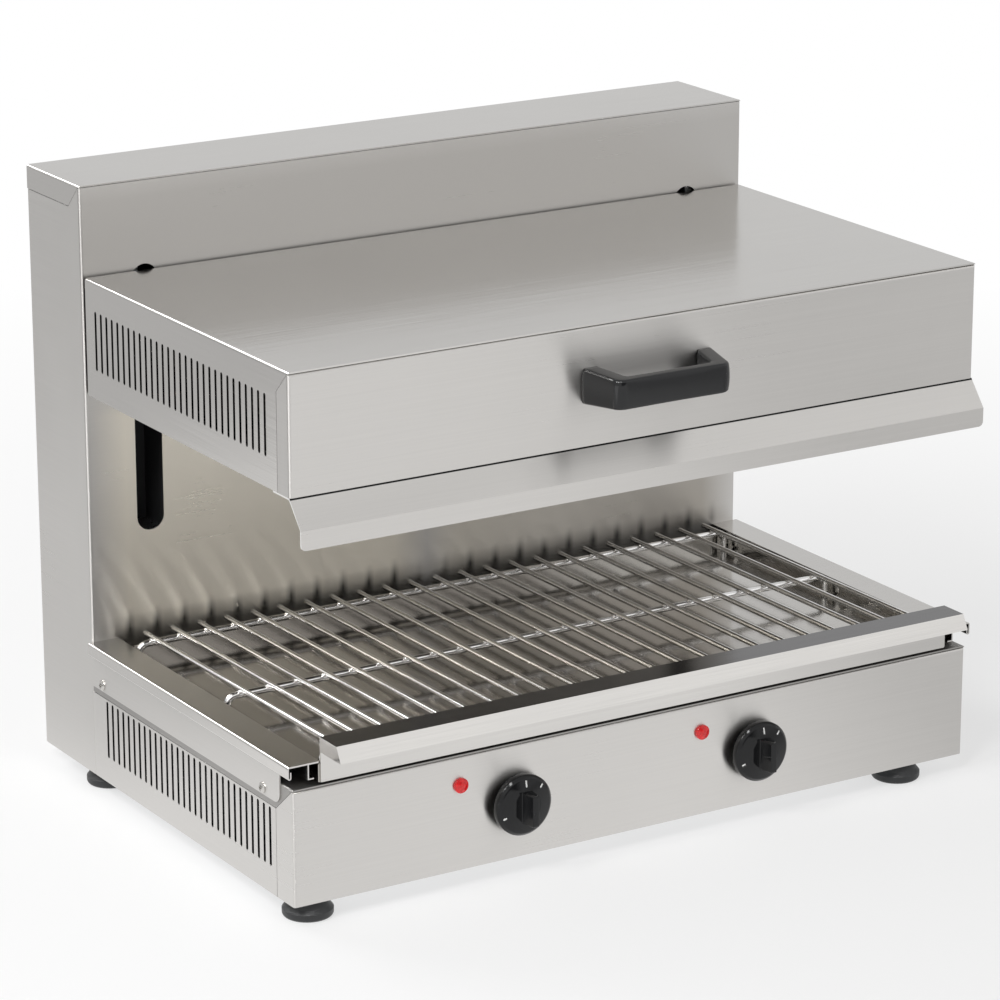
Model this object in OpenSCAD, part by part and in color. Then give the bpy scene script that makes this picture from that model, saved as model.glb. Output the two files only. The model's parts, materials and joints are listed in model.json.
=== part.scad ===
// Cheese melter: a countertop grill with a counterbalanced heated hood that slides up and
// down a rear column, a wire grid in a pull-out drip tray, and two heat controls.
// Frame: +Z up, front towards -Y, origin in the middle of the footprint on the worktop.

/* [Casing] */
// Width of the casing
case_w = 600; // [580:2:640]
// Depth from the base's front face to the column's back
case_d = 406; // [380:2:440]
// Height of the base without its feet
base_h = 90; // [86:1:110]
// Depth of the column
column_d = 89; // [86:1:110]
// Height of the column over the top of the raised hood
column_over = 70; // [64:1:120]
// Thickness of the casing sheet
sheet = 1.2; // [1:0.1:1.5]
// Outside radius of the sheet bends
bend_r = 2; // [1.7:0.1:3]
// Width of the seam between two sheets
seam = 0.4; // [0.2:0.1:0.8]
// Depth of the side returns of the base's front panel
base_return = 25; // [20:1:30]
// Height of the deck's side flanges
deck_flange = 21; // [18:0.5:23]
// Height of the column cap's flanges
cap_flange = 18.5; // [12:0.5:26]
// Width of the folded edges that carry other sheets
fold_w = 15; // [12:1:20]

/* [Hood] */
// Distance that the hood's sides stand in from the casing's
hood_inset = 1.5; // [1:0.5:8]
// Height of the hood
hood_h = 91; // [88:1:100]
// Gap between the hood and the column
hood_gap = 3; // [2:0.5:6]
// Height of the space between base and raised hood
hood_open = 217; // [214:1:224]
// Depth of the side returns of the hood's front panel
hood_return = 17; // [12:1:20]
// Distance that the hood travels down
hood_travel = 140; // [80:1:143]
// Depth of the rear bay that holds the lift arms
hood_bay = 62; // [50:1:80]
// Forward reach of the deflector under the hood's front
lip_reach = 15.5; // [10:0.5:20]
// Height of the deflector's slope
lip_slope = 20; // [16:0.5:20]
// Height of the deflector's upright edge
lip_edge = 14.5; // [10:0.5:15]

/* [Ventilation slots] */
// Number of slots in each side of hood and base
vent_count = 30; // [10:1:30]
// Width of a slot
vent_w = 3.2; // [2:0.1:4]
// Height of a slot
vent_h = 46; // [25:1:46]

/* [Handle] */
// Width of the handle at the hood's front
handle_w = 115; // [100:1:160]
// Height of the handle at its feet
handle_h = 27; // [22:1:34]
// Distance that the handle stands out
handle_reach = 37; // [30:1:42]
// Width of a handle foot
handle_foot = 15; // [14:1:20]
// Thickness of the grip bar
handle_grip = 9.5; // [8:0.5:12]

/* [Controls] */
// Radius of the knob skirt
knob_r = 23.6; // [20:0.1:28]
// Distance from the front panel to the face of the knob's grip
knob_reach = 26; // [22:1:30]
// Sideways place of the left knob
knob_x = -111.5; // [-140:0.5:-90]
// Distance between the two knobs
knob_pitch = 212.5; // [150:0.5:240]
// Height of the knobs above the casing's underside
knob_z = 43.7; // [38:0.1:50]
// Radius of the control shaft
shaft_r = 3; // [2.5:0.1:3.5]
// Radius of a pilot lamp's lens
pilot_r = 5.8; // [5.5:0.1:8]
// Distance of a pilot lamp to the left of its knob
pilot_dx = 49; // [40:0.1:60]
// Height of a pilot lamp above its knob
pilot_dz = 22.6; // [10:0.1:26]

/* [Tray and grid] */
// Distance from the base's top to the rail's top
rail_z = 18.6; // [17:0.1:22]
// Width of a rail's top
rail_w = 26.3; // [24:0.1:30]
// Distance that a rail stands out over the casing's side
rail_out = 4; // [3:0.1:6]
// Thickness of the rail and tray sheet
thin = 1; // [0.8:0.1:1.2]
// Gap between the base's top and the tray's floor
tray_lift = 2.9; // [2:0.1:4]
// Depth that the tray can be pulled out
tray_travel = 250; // [100:5:280]
// Height of the tray's front bar over the base's top
bar_z = 37.1; // [34:0.1:40]
// Depth of the flat top of the tray's front bar
bar_top = 23; // [18:0.5:26]
// Radius of the long grid wires
wire_r = 1.75; // [1.5:0.05:2.25]
// Radius of the grid's cross wires
cross_r = 2.5; // [2:0.1:3]
// Number of long grid wires
wire_count = 23; // [9:2:23]
// Height of the grid that it can be lifted
grid_lift = 60; // [20:5:80]

/* [Lift] */
// Distance of the lift arms from the casing's sides
arm_inset = 53; // [51:0.5:60]
// Thickness of a lift arm
arm_t = 6; // [4:0.5:8]
// Height of a lift arm
arm_h = 56; // [48:1:60]
// Width of a slot in the column
slot_w = 23; // [16:0.5:25]
// Radius of the guide rods
rod_r = 6; // [5:0.5:7]
// Radius of the counterweight's guide rods
weight_rod_r = 4; // [3:0.5:5]
// Running clearance between a rod and its guide
running = 0.06; // [0.03:0.01:0.09]
// Pitch radius of the cable pulleys
pulley_r = 24; // [22:0.5:24]
// Radius of the counterbalance cable
cable_r = 1.5; // [1:0.1:1.8]
// Height of the counterweight
weight_h = 60; // [50:1:66]
// Depth of the counterweight
weight_d = 28; // [20:1:30]

/* [Feet and gland] */
// Height of a foot
foot_h = 16; // [14:1:24]
// Radius of a foot
foot_r = 19; // [16:0.5:20]
// Distance of the left feet from the casing's left side
foot_left = 22; // [20:0.5:26]
// Distance of the right feet from the casing's right side
foot_right = 49; // [20:0.5:60]
// Distance of the front feet from the base's front
foot_front = 20; // [20:0.5:26]
// Distance of the rear feet from the column's back
foot_back = 70; // [60:1:80]
// Radius of the cable gland's bore
gland_r = 4.5; // [3:0.1:5.5]
// Distance that the cable gland stands out of the back
gland_reach = 12; // [10:0.5:16]

/* [Hidden] */
$fn = 48;

// Clearances: between bodies that pass each other, and between parts that only meet
pass = 0.3;
slack = 0.1;

// Sizes that follow from the casing
hood_w = case_w - 2 * hood_inset;
column_h = base_h + hood_open + hood_h + column_over;
arm_x = case_w / 2 - arm_inset;
vent_front = 34.3;
base_vent_rear = 23;
hood_vent_rear = 19.2;
louvre_pitch = 9;
louvre_count = 12;

// Places along Y, the footprint being centred on the origin
total_d = handle_reach + case_d + gland_reach;
y_back = total_d / 2 - gland_reach;
y_front = y_back - case_d;
y_col = y_back - column_d;
y_hood = y_col - hood_gap;
y_in = y_col + sheet;

// Heights
z0 = foot_h;
base_top = z0 + base_h;
hood_bot = base_top + hood_open;
hood_top = hood_bot + hood_h;
column_top = z0 + column_h;
rail_top = base_top + rail_z;
vent_base_z = z0 + 44;

// Lift: the arms, their slots, and the beams that stop the carriages
arm_top = hood_top - 6;
arm_bot = arm_top - arm_h;
slot_top = hood_top + 4;
slot_bot = arm_bot - hood_travel - 5;
stop_gap = 0.5;
beam_t = 4;
beam_d = 80;
cheek_t = 2;
pulley_edge = pulley_r + 2.8;
pulley_z = column_top - sheet - 1.5 - pulley_edge;
top_beam_z = pulley_z - pulley_edge - stop_gap - cheek_t - beam_t;
carriage_top = top_beam_z - stop_gap;
carriage_bot = arm_bot - 7;
bottom_beam_top = carriage_bot - hood_travel - stop_gap;
rod_x = arm_x + 29;
rod_y = y_in + 18;
cable_x = arm_x + 11;
carriage_in = arm_x + arm_t / 2;
carriage_out = rod_x + 14;
carriage_d = 28;
channel_in = arm_x - 16.5;
channel_out = carriage_out + 4.5;
channel_d = 38;
channel_t = 1.5;
bush_r = rod_r + 3;
bush_h = 20;
bolt_r = 4;
bolt_head_r = 6.5;
bolt_head_h = 4;
arm_bolt_z = [arm_bot + 13, arm_top - 19];
pulley_y = rod_y + pulley_r;
pulley_w = 12;
axle_r = 5;
weight_y = rod_y + 2 * pulley_r;
weight_w = 2 * cable_x + 20;
weight_bot = bottom_beam_top + 1;
weight_rod_x = case_w / 4;

// Tray: the pan between the rails, and the bar along its front
tray_floor = base_top + tray_lift;
tray_rim = rail_top - sheet - 0.9;
rail_in = case_w / 2 + rail_out - rail_w;
tray_half = rail_in + 1.8;
tray_back = y_col - 17;
tray_face = y_front - 2.2;
bar_slope = 6;
bar_drop = 11.4;
runner_x = rail_in + 10;
runner_foot = 5;
runner_h = 11.5;

// Grid: long wires on top of three cross wires whose ends are bent down as legs
grid_top = base_top + 24.5 + wire_r;
cross_z = grid_top - 2 * wire_r - cross_r;
cross_half = tray_half - thin - cross_r - 5;
cross_bend = 7;
wire_margin = 17;
wire_pitch = 2 * (rail_in - wire_margin) / (wire_count - 1);
wire_rear = y_col - 11;
wire_front = y_front + 2;
cross_front = y_front + 8;
cross_rear = wire_rear - 14;

// Side strips and their screws
strip_t = 1;
strip_low = base_top - 16;
strip_front = y_front + 17.5;
strip_screw_z = base_top - 11;
strip_screw_y = [y_front + 43, y_col - 17.5];
screw_r = 2;
screw_l = 9;
screw_head_r = 4.2;

// Hood inside
reflector_t = 1;
reflector_h = 40;
reflector_half = hood_w / 2 - 18.5;
reflector_front = y_front + fold_w + 1;
reflector_back = y_hood - hood_bay;
element_r = 4;
element_z = hood_bot + 18;
element_pitch = 58;
element_mid = (reflector_front + reflector_back) / 2;
element_out = hood_w / 2 - 63.5;
element_in = 45;
clip_w = 12;
clip_off = 40;
mat_t = 18;

// Handle
handle_z = (hood_bot + hood_top) / 2;
handle_taper = 0.82;
handle_screw_r = 2.5;
handle_screw_x = handle_w / 2 - handle_foot / 2;

// Controls
knob_xs = [knob_x, knob_x + knob_pitch];
knob_level = z0 + knob_z;
knob_back = 4.5;
rim_face = 11.5;
dial_face = 15;
dial_r = 12;
grip_top = 5.2;
grip_foot = 7.6;
shaft_end = 13.5;
bush_out_r = 5;
pilot_shank_r = 4.9;
key_from = 6;
key_fit = 0.03;

// Screws of the back panel: height and sideways place
back_screw_x = case_w / 2 - 8;
back_screw_z = [for (i = [0:3]) z0 + 20 + i * (column_h - 60) / 3];

// Cable gland
gland_inset = 95;
gland_x = case_w / 2 - gland_inset;
gland_z = z0 + 46;
gland_thread_r = 8;

// Feet
foot_places = [for (x = [foot_left - case_w / 2, case_w / 2 - foot_right],
  y = [y_front + foot_front, y_back - foot_back]) [x, y]];

// ---- shared shapes ----

// Box between two opposite corners
module block(lo, hi) {
  translate(lo) cube(hi - lo);
}

// An outline in X and Z drawn out from y0 to y1
module along_y(y0, y1) {
  translate([0, y1, 0]) rotate([90, 0, 0]) linear_extrude(y1 - y0) children();
}

// An outline in Y and Z drawn out from x0 to x1
module along_x(x0, x1) {
  translate([x0, 0, 0]) rotate([90, 0, 90]) linear_extrude(x1 - x0) children();
}

// Round bars along each axis
module bar_x(r, x0, x1, y, z) {
  translate([x0, y, z]) rotate([0, 90, 0]) cylinder(r = r, h = x1 - x0);
}
module bar_y(r, x, y0, y1, z) {
  translate([x, y1, z]) rotate([90, 0, 0]) cylinder(r = r, h = y1 - y0);
}
module bar_z(r, x, y, z0, z1) {
  translate([x, y, z0]) cylinder(r = r, h = z1 - z0);
}

// The same thing on the right and, mirrored, on the left
module both_sides() {
  children();
  mirror([1, 0, 0]) children();
}

// Filled outline, w wide and h deep from the origin down, with two round top corners
module arch(w, h, r) {
  translate([-w / 2, -h]) square([w, h - r]);
  translate([r - w / 2, -r]) square([w - 2 * r, r]);
  for (side = [-1, 1]) translate([side * (w / 2 - r), -r]) circle(r);
}

// Sheet bent down at both sides
module bent_sheet(w, h, r) {
  difference() {
    arch(w, h, r);
    translate([0, -sheet]) arch(w - 2 * sheet, h, r - sheet);
  }
}

// Slot outline with round ends, centred
module slot_outline(w, h) {
  square([w, h - w], center = true);
  for (end = [-1, 1]) translate([0, end * (h / 2 - w / 2)]) circle(w / 2, $fn = 24);
}

// Top and side flanges in one bent sheet; the front ends of its flanges are mitred
// from the top corner down to a point that is back and down from it
module top_shell(w, y0, y1, top, drop, back, down) {
  difference() {
    along_y(y0, y1) translate([0, top]) bent_sheet(w, drop, bend_r);
    for (side = [-1, 1])
      along_x(side * w / 2 - 2 * sheet, side * w / 2 + 2 * sheet)
        translate([y0, top])
          polygon([[-1, -sheet], [sheet * back / down, -sheet], [back, -down],
            [back + seam, -down - seam * down / back], [back + seam, -drop - 1],
            [-1, -drop - 1]]);
  }
}

// Solid with the outer form of a front panel: round at its upright and upper front edges
module panel_form(w, y0, depth, bottom, top, r) {
  intersection() {
    translate([0, y0, bottom]) linear_extrude(top - bottom) mirror([0, 1]) arch(w, depth, r);
    along_x(-w / 2, w / 2) {
      translate([y0 + r, bottom]) square([depth - r, top - bottom]);
      translate([y0, bottom]) square([r, top - bottom - r]);
      translate([y0 + r, top - r]) circle(r);
    }
  }
}

// Front panel with side returns and an upper fold that lie under the top shell's sheet
module front_pan(w, y0, bottom, top, back, down) {
  upper = top - sheet - seam;
  difference() {
    panel_form(w, y0, back, bottom, upper, bend_r);
    panel_form(w - 2 * sheet, y0 + sheet, back, bottom - 1, upper - sheet, bend_r - sheet);
    for (side = [-1, 1])
      along_x(side * w / 2 - 2 * sheet, side * w / 2 + 2 * sheet)
        translate([y0, top])
          polygon([[-2, 2 * down / back - seam], [back + 2, -(back + 2) * down / back - seam],
            [back + 2, 4], [-2, 4]]);
  }
}

// Row of upright slots through both side walls, ending short of the column
module vent_row(w, mid_z, rear) {
  first = y_front + vent_front;
  pitch = (y_col - rear - first) / (vent_count - 1);
  for (i = [0:vent_count - 1])
    translate([0, first + i * pitch, mid_z])
      rotate([90, 0, 90]) linear_extrude(w + 10, center = true) slot_outline(vent_w, vent_h);
}

// Domed screw head with a cross recess, standing up from the origin
module cross_head(r, h) {
  difference() {
    intersection() {
      cylinder(r = r, h = h);
      translate([0, 0, h - 1.6 * r]) sphere(1.6 * r);
    }
    for (turn = [0, 90]) rotate(turn) translate([-r / 2, -r / 8, h / 2]) cube([r, r / 4, h]);
  }
}

// Hexagonal nut across its flats, standing up from the origin
module hex_nut(flats, hole_r, h) {
  difference() {
    cylinder(r = flats / sqrt(3), h = h, $fn = 6);
    translate([0, 0, -1]) cylinder(r = hole_r, h = h + 2);
  }
}

// ---- base ----

module bottom_plate() {
  color("silver") difference() {
    block([-case_w / 2 + sheet + slack, y_front + sheet + slack, z0],
      [case_w / 2 - sheet - slack, y_back - sheet - slack, z0 + sheet]);
    for (p = foot_places) translate([p[0], p[1], z0 - 1]) cylinder(r = 3.2, h = sheet + 2);
    for (row = [0:louvre_count - 1], side = [-1, 1])
      translate([side * 130, y_front + 120 + row * louvre_pitch, z0])
        rotate(90) linear_extrude(4 * sheet, center = true) slot_outline(vent_w, 60);
  }
}

module base_front_panel() {
  color("gainsboro") difference() {
    front_pan(case_w, y_front, z0, base_top, base_return, deck_flange);
    for (x = knob_xs) {
      bar_y(bush_out_r + 0.2, x, y_front - 1, y_front + sheet + 1, knob_level);
      bar_y(pilot_shank_r + slack, x - pilot_dx, y_front - 1, y_front + sheet + 1,
        knob_level + pilot_dz);
    }
  }
}

// Right side wall: upright sheet, fold on the bottom plate, and a lap behind the deck flange
module base_side() {
  wall_top = base_top - deck_flange - seam;
  fold = 30;
  lap = 8;
  foot_clear = foot_front + 12;
  difference() {
    along_y(y_front + base_return + seam, y_col) {
      translate([case_w / 2 - sheet, z0]) square([sheet, wall_top - z0]);
      translate([case_w / 2 - fold, z0 + sheet + slack]) square([fold - sheet / 2, sheet]);
      translate([case_w / 2 - 2 * sheet, wall_top - lap]) square([sheet, 2 * lap]);
    }
    vent_row(case_w, vent_base_z, base_vent_rear);
    block([case_w / 2 - fold - 1, y_front, z0 + sheet], [case_w / 2 - 2 * sheet,
      y_front + foot_clear, z0 + 3 * sheet]);
    for (y = strip_screw_y) bar_x(screw_r + slack, case_w / 2 - 4, case_w / 2 + 1, y, strip_screw_z);
  }
}
module base_side_right() {
  color("gainsboro") base_side();
}
module base_side_left() {
  color("gainsboro") mirror([1, 0, 0]) base_side();
}

module base_deck() {
  color("silver") difference() {
    top_shell(case_w, y_front, y_col, base_top, deck_flange, base_return, deck_flange);
    for (y = strip_screw_y)
      bar_x(screw_r + slack, -case_w, case_w, y, strip_screw_z);
  }
}

// Right side strip that carries the rail, with its lower front corner rounded
module rail_strip() {
  corner = 8;
  difference() {
    along_x(case_w / 2, case_w / 2 + strip_t) {
      translate([strip_front, strip_low + corner])
        square([y_col - strip_front, rail_top - sheet - strip_low - corner]);
      translate([strip_front + corner, strip_low])
        square([y_col - strip_front - corner, corner]);
      translate([strip_front + corner, strip_low + corner]) circle(corner);
    }
    for (y = strip_screw_y)
      bar_x(screw_r + slack, case_w / 2 - 1, case_w / 2 + strip_t + 1, y, strip_screw_z);
  }
}
module rail_strip_right() {
  color("gainsboro") rail_strip();
}
module rail_strip_left() {
  color("gainsboro") mirror([1, 0, 0]) rail_strip();
}

// Right tray rail: flat top, an open hem along its outer edge and a hooked runner below
module tray_rail() {
  edge = case_w / 2 + rail_out;
  hem_in = case_w / 2 + strip_t;
  hem_h = 10;
  hem_r = (edge - hem_in) / 2;
  along_y(y_front - 0.5, y_col) {
    translate([rail_in, rail_top - sheet]) square([edge - bend_r - rail_in, sheet]);
    difference() {
      union() {
        translate([edge - bend_r, rail_top - bend_r]) circle(bend_r);
        translate([edge - thin, rail_top - hem_h + hem_r])
          square([thin, hem_h - hem_r - bend_r]);
      }
      translate([edge - bend_r - 2, rail_top - 2 * bend_r])
        square([2 + bend_r - thin, 2 * bend_r - sheet]);
    }
    translate([edge - thin, rail_top - hem_h + hem_r])
      square([thin, hem_h - hem_r - bend_r]);
    translate([hem_in, rail_top - hem_h + hem_r])
      square([thin, hem_h - hem_r - sheet - 3]);
    translate([hem_in + hem_r, rail_top - hem_h + hem_r]) difference() {
      circle(hem_r);
      circle(hem_r - thin);
      translate([-2 * hem_r, 0]) square(4 * hem_r);
    }
    translate([runner_x - thin, rail_top - sheet - runner_h]) square([thin, runner_h]);
    translate([runner_x - runner_foot, rail_top - sheet - runner_h])
      square([runner_foot, thin]);
  }
}
module tray_rail_right() {
  color("gray") tray_rail();
}
module tray_rail_left() {
  color("gray") mirror([1, 0, 0]) tray_rail();
}

// ---- column ----

module column_shell() {
  upper = column_top - sheet - seam;
  depth = column_d - sheet;
  color("gainsboro") difference() {
    translate([0, y_col, z0]) linear_extrude(upper - z0) difference() {
      mirror([0, 1]) arch(case_w, depth, bend_r);
      translate([0, sheet]) mirror([0, 1])
        arch(case_w - 2 * sheet, depth - 2 * sheet, bend_r - sheet);
      translate([-case_w / 2 + fold_w, depth / 2]) square([case_w - 2 * fold_w, depth]);
    }
    for (side = [-1, 1]) {
      along_x(side * case_w / 2 - 2 * sheet, side * case_w / 2 + 2 * sheet)
        translate([y_col, column_top])
          polygon([[-2, 2 - seam], [cap_flange, -cap_flange - seam],
            [column_d + 2, -cap_flange - seam], [column_d + 2, 2]]);
      translate([side * arm_x, y_col, (slot_top + slot_bot) / 2]) rotate([90, 0, 0])
        linear_extrude(8, center = true) slot_outline(slot_w, slot_top - slot_bot);
      for (z = back_screw_z) bar_y(screw_r + slack, side * back_screw_x, y_back - 6, y_back, z);
    }
    block([-case_w / 2 + sheet, y_col - 1, z0 - 1], [case_w / 2 - sheet, y_back, z0 + sheet + slack]);
    block([-case_w / 2 + 40, y_col - 1, z0 - 1], [case_w / 2 - 40, y_in + 1, base_top - 30]);
  }
}

module column_cap() {
  color("gainsboro") {
    top_shell(case_w, y_col, y_back, column_top, cap_flange, cap_flange, cap_flange);
    block([-case_w / 2 + sheet, y_back - sheet, column_top - cap_flange],
      [case_w / 2 - sheet, y_back, column_top - sheet / 2]);
  }
}

module back_panel() {
  upper = column_top - cap_flange - seam;
  color("silver") difference() {
    block([-case_w / 2 + 1, y_back - sheet, z0 + 1], [case_w / 2 - 1, y_back, upper]);
    for (side = [-1, 1]) {
      for (z = back_screw_z)
        bar_y(screw_r + slack, side * back_screw_x, y_back - 6, y_back + 1, z);
      for (i = [0:louvre_count - 1])
        translate([side * 120 + (i - (louvre_count - 1) / 2) * louvre_pitch, y_back, z0 + 100])
          rotate([90, 0, 0]) linear_extrude(8, center = true) slot_outline(vent_w, vent_h);
    }
    bar_y(gland_thread_r + slack, gland_x, y_back - 6, y_back + 1, gland_z);
  }
}

// Cross-head screw along +Z with its head's seat at the origin
module casing_screw() {
  cross_head(screw_head_r, 2.2);
  translate([0, 0, -screw_l]) cylinder(r = screw_r, h = screw_l);
}

// The same screws hold the side strips and the back panel
module casing_screws() {
  color("lightgray") {
    both_sides() for (y = strip_screw_y)
      translate([case_w / 2 + strip_t, y, strip_screw_z]) rotate([0, 90, 0]) casing_screw();
    for (side = [-1, 1], z = back_screw_z)
      translate([side * back_screw_x, y_back, z]) rotate([-90, 0, 0]) casing_screw();
  }
}

// ---- feet ----

// Round feet: a disc with rounded lower edge, coned in towards its top
module feet() {
  rim = 3;
  wall = 6;
  shoulder = 9;
  neck_r = foot_r - 6;
  color("dimgray") for (p = foot_places) translate([p[0], p[1], 0]) rotate_extrude()
    difference() {
      union() {
        square([foot_r - rim, wall]);
        translate([foot_r - rim, rim]) circle(rim);
        polygon([[0, rim], [foot_r, rim], [foot_r, wall], [foot_r - 2.4, shoulder],
          [neck_r, foot_h], [0, foot_h]]);
      }
      translate([-1, -1]) square([1, foot_h + 2]);
      square([6.5, foot_h - 7]);
      square([3.2, foot_h]);
    }
}

module foot_screws() {
  color("lightgray") for (p = foot_places) translate([p[0], p[1], 0]) {
    translate([0, 0, foot_h - 11]) cylinder(r = 5, h = 4);
    translate([0, 0, foot_h - 7]) cylinder(r = 3, h = 7 + sheet + 7);
  }
}

module foot_nuts() {
  color("lightgray") for (p = foot_places) translate([p[0], p[1], z0 + sheet])
    hex_nut(10, 3 + slack, 5);
}

// ---- lift inside the column ----

module guide_channels() {
  lo = bottom_beam_top;
  color("black") both_sides() difference() {
    block([channel_in, y_in, lo], [channel_out, y_in + channel_d, top_beam_z]);
    block([channel_in + channel_t, y_in - 1, lo - 1],
      [channel_out - channel_t, y_in + channel_d - channel_t, top_beam_z + 1]);
  }
}

module guide_rods() {
  color("lightsteelblue") both_sides()
    bar_z(rod_r, rod_x, rod_y, bottom_beam_top - beam_t, top_beam_z + beam_t);
}

module weight_rods() {
  color("lightsteelblue") both_sides()
    bar_z(weight_rod_r, weight_rod_x, weight_y, bottom_beam_top - beam_t, top_beam_z + beam_t);
}

// Flat beam across the column with seats for the four rods
module beam(z) {
  difference() {
    block([-case_w / 2 + sheet, y_in, z], [case_w / 2 - sheet, y_in + beam_d, z + beam_t]);
    for (side = [-1, 1]) {
      bar_z(rod_r + running, side * rod_x, rod_y, z - 1, z + beam_t + 1);
      bar_z(weight_rod_r + running, side * weight_rod_x, weight_y, z - 1, z + beam_t + 1);
    }
  }
}

module top_beam() {
  color("slategray") difference() {
    beam(top_beam_z);
    for (side = [-1, 1], y = [rod_y, weight_y])
      bar_z(cable_r + 2, side * cable_x, y, top_beam_z - 1, top_beam_z + beam_t + 1);
  }
}

module bottom_beam() {
  color("slategray") beam(bottom_beam_top - beam_t);
}

module pulley_brackets() {
  foot_z = top_beam_z + beam_t;
  half = pulley_w / 2 + 1.5;
  reach = 12;
  color("slategray") both_sides() difference() {
    block([cable_x - half - cheek_t, pulley_y - reach, foot_z],
      [cable_x + half + cheek_t, pulley_y + reach, pulley_z + 11]);
    block([cable_x - half, pulley_y - reach - 1, foot_z + cheek_t],
      [cable_x + half, pulley_y + reach + 1, pulley_z + 12]);
    bar_x(axle_r + running, cable_x - 20, cable_x + 20, pulley_y, pulley_z);
  }
}

module pulley_axles() {
  out = pulley_w / 2 + 1.5 + cheek_t;
  color("lightsteelblue") both_sides() {
    bar_x(axle_r, cable_x - out - 2, cable_x + out, pulley_y, pulley_z);
    bar_x(axle_r + 2.5, cable_x + out, cable_x + out + 2, pulley_y, pulley_z);
  }
}

// Grooved pulley with four lightening holes
module pulley() {
  rotate([0, 90, 0]) difference() {
    rotate_extrude() difference() {
      translate([axle_r + running, -pulley_w / 2])
        square([pulley_edge - axle_r - running, pulley_w]);
      translate([pulley_r, 0]) circle(cable_r + pass);
      translate([pulley_r, -cable_r - pass]) square([pulley_r, 2 * (cable_r + pass)]);
    }
    for (turn = [0:90:270]) rotate(turn) translate([pulley_r * 0.58, 0, -pulley_w])
      cylinder(r = pulley_r / 6, h = 2 * pulley_w);
  }
}
module pulley_right() {
  color("tan") translate([cable_x, pulley_y, pulley_z]) pulley();
}
module pulley_left() {
  color("tan") translate([-cable_x, pulley_y, pulley_z]) pulley();
}

// The cable from the carriage up to the pulley, over it, and down to the counterweight
module lift_cables() {
  color("dimgray") both_sides() bar_z(cable_r, cable_x, rod_y, carriage_top, pulley_z);
}
module cable_bends() {
  color("dimgray") both_sides() translate([cable_x, pulley_y, pulley_z]) rotate([90, 0, 90])
    rotate_extrude(angle = 180) translate([pulley_r, 0]) circle(cable_r, $fn = 16);
}
module weight_cables() {
  color("dimgray") both_sides() bar_z(cable_r, cable_x, weight_y, weight_bot + weight_h, pulley_z);
}

module counterweight() {
  color("darkslategray") difference() {
    block([-weight_w / 2, weight_y - weight_d / 2, weight_bot],
      [weight_w / 2, weight_y + weight_d / 2, weight_bot + weight_h]);
    for (side = [-1, 1])
      bar_z(weight_rod_r + running, side * weight_rod_x, weight_y, weight_bot - 1,
        weight_bot + weight_h + 1);
  }
}

module carriages() {
  color("lightsteelblue") both_sides() difference() {
    block([carriage_in, rod_y - carriage_d / 2, carriage_bot],
      [carriage_out, rod_y + carriage_d / 2, carriage_top]);
    bar_z(bush_r, rod_x, rod_y, carriage_bot - 1, carriage_top + 1);
    for (z = arm_bolt_z) bar_x(bolt_r + slack, carriage_in - 1, carriage_in + 13, rod_y, z);
  }
}

module carriage_bushes() {
  color("peru") both_sides() for (z = [carriage_bot, carriage_top - bush_h]) difference() {
    bar_z(bush_r, rod_x, rod_y, z, z + bush_h);
    bar_z(rod_r + running, rod_x, rod_y, z - 1, z + bush_h + 1);
  }
}

// Arm plate from the carriage through the column's slot to a flange on the hood's back
module lift_arms() {
  flange_w = 34;
  face = y_hood - sheet;
  color("darkgray") both_sides() difference() {
    union() {
      block([arm_x - arm_t / 2, face - 40, arm_bot],
        [arm_x + arm_t / 2, rod_y + carriage_d / 2, arm_top]);
      block([arm_x - flange_w, face - 5, arm_bot], [arm_x, face, arm_top]);
    }
    for (z = arm_bolt_z) {
      bar_x(bolt_r + slack, arm_x - arm_t, arm_x + arm_t, rod_y, z);
      bar_y(bolt_r + slack, arm_x - 20, face - 6, face + 1, z);
    }
  }
}

module arm_bolts() {
  in = arm_x - arm_t / 2;
  face = y_hood - sheet - 5;
  color("lightgray") both_sides() for (z = arm_bolt_z) {
    bar_x(bolt_r, in, carriage_in + 12, rod_y, z);
    translate([in, rod_y, z]) rotate([0, -90, 0])
      cylinder(r = bolt_head_r, h = bolt_head_h, $fn = 6);
    bar_y(bolt_r, arm_x - 20, face, y_hood, z);
    translate([arm_x - 20, face, z]) rotate([90, 0, 0])
      cylinder(r = bolt_head_r, h = bolt_head_h, $fn = 6);
  }
}

// ---- controls ----

module regulators() {
  body_y = y_front + sheet;
  color("dimgray") for (x = knob_xs) difference() {
    union() {
      block([x - 17, body_y, knob_level - 19], [x + 17, body_y + 30, knob_level + 19]);
      bar_y(bush_out_r, x, y_front - 2.8, body_y, knob_level);
    }
    bar_y(shaft_r + running, x, y_front - 4, body_y + 12, knob_level);
    for (pin = [-12:8:12])
      block([x + pin - 2, body_y + 26, knob_level - 12], [x + pin + 2, body_y + 31, knob_level - 4]);
  }
}

module regulator_nuts() {
  color("lightgray") for (x = knob_xs) translate([x, y_front, knob_level])
    rotate([90, 0, 0]) hex_nut(14, bush_out_r + slack, 2.4);
}

// Shaft end with a flat, which keys the knob to the heat control
module shaft(x) {
  translate([x, 0, knob_level]) difference() {
    bar_y(shaft_r, 0, y_front - shaft_end, y_front + sheet + 11.5, 0);
    block([-shaft_r, y_front - shaft_end - 1, shaft_r / 2],
      [shaft_r, y_front - key_from, 2 * shaft_r]);
  }
}
module shaft_left() {
  color("lightsteelblue") shaft(knob_xs[0]);
}
module shaft_right() {
  color("lightsteelblue") shaft(knob_xs[1]);
}

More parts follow.
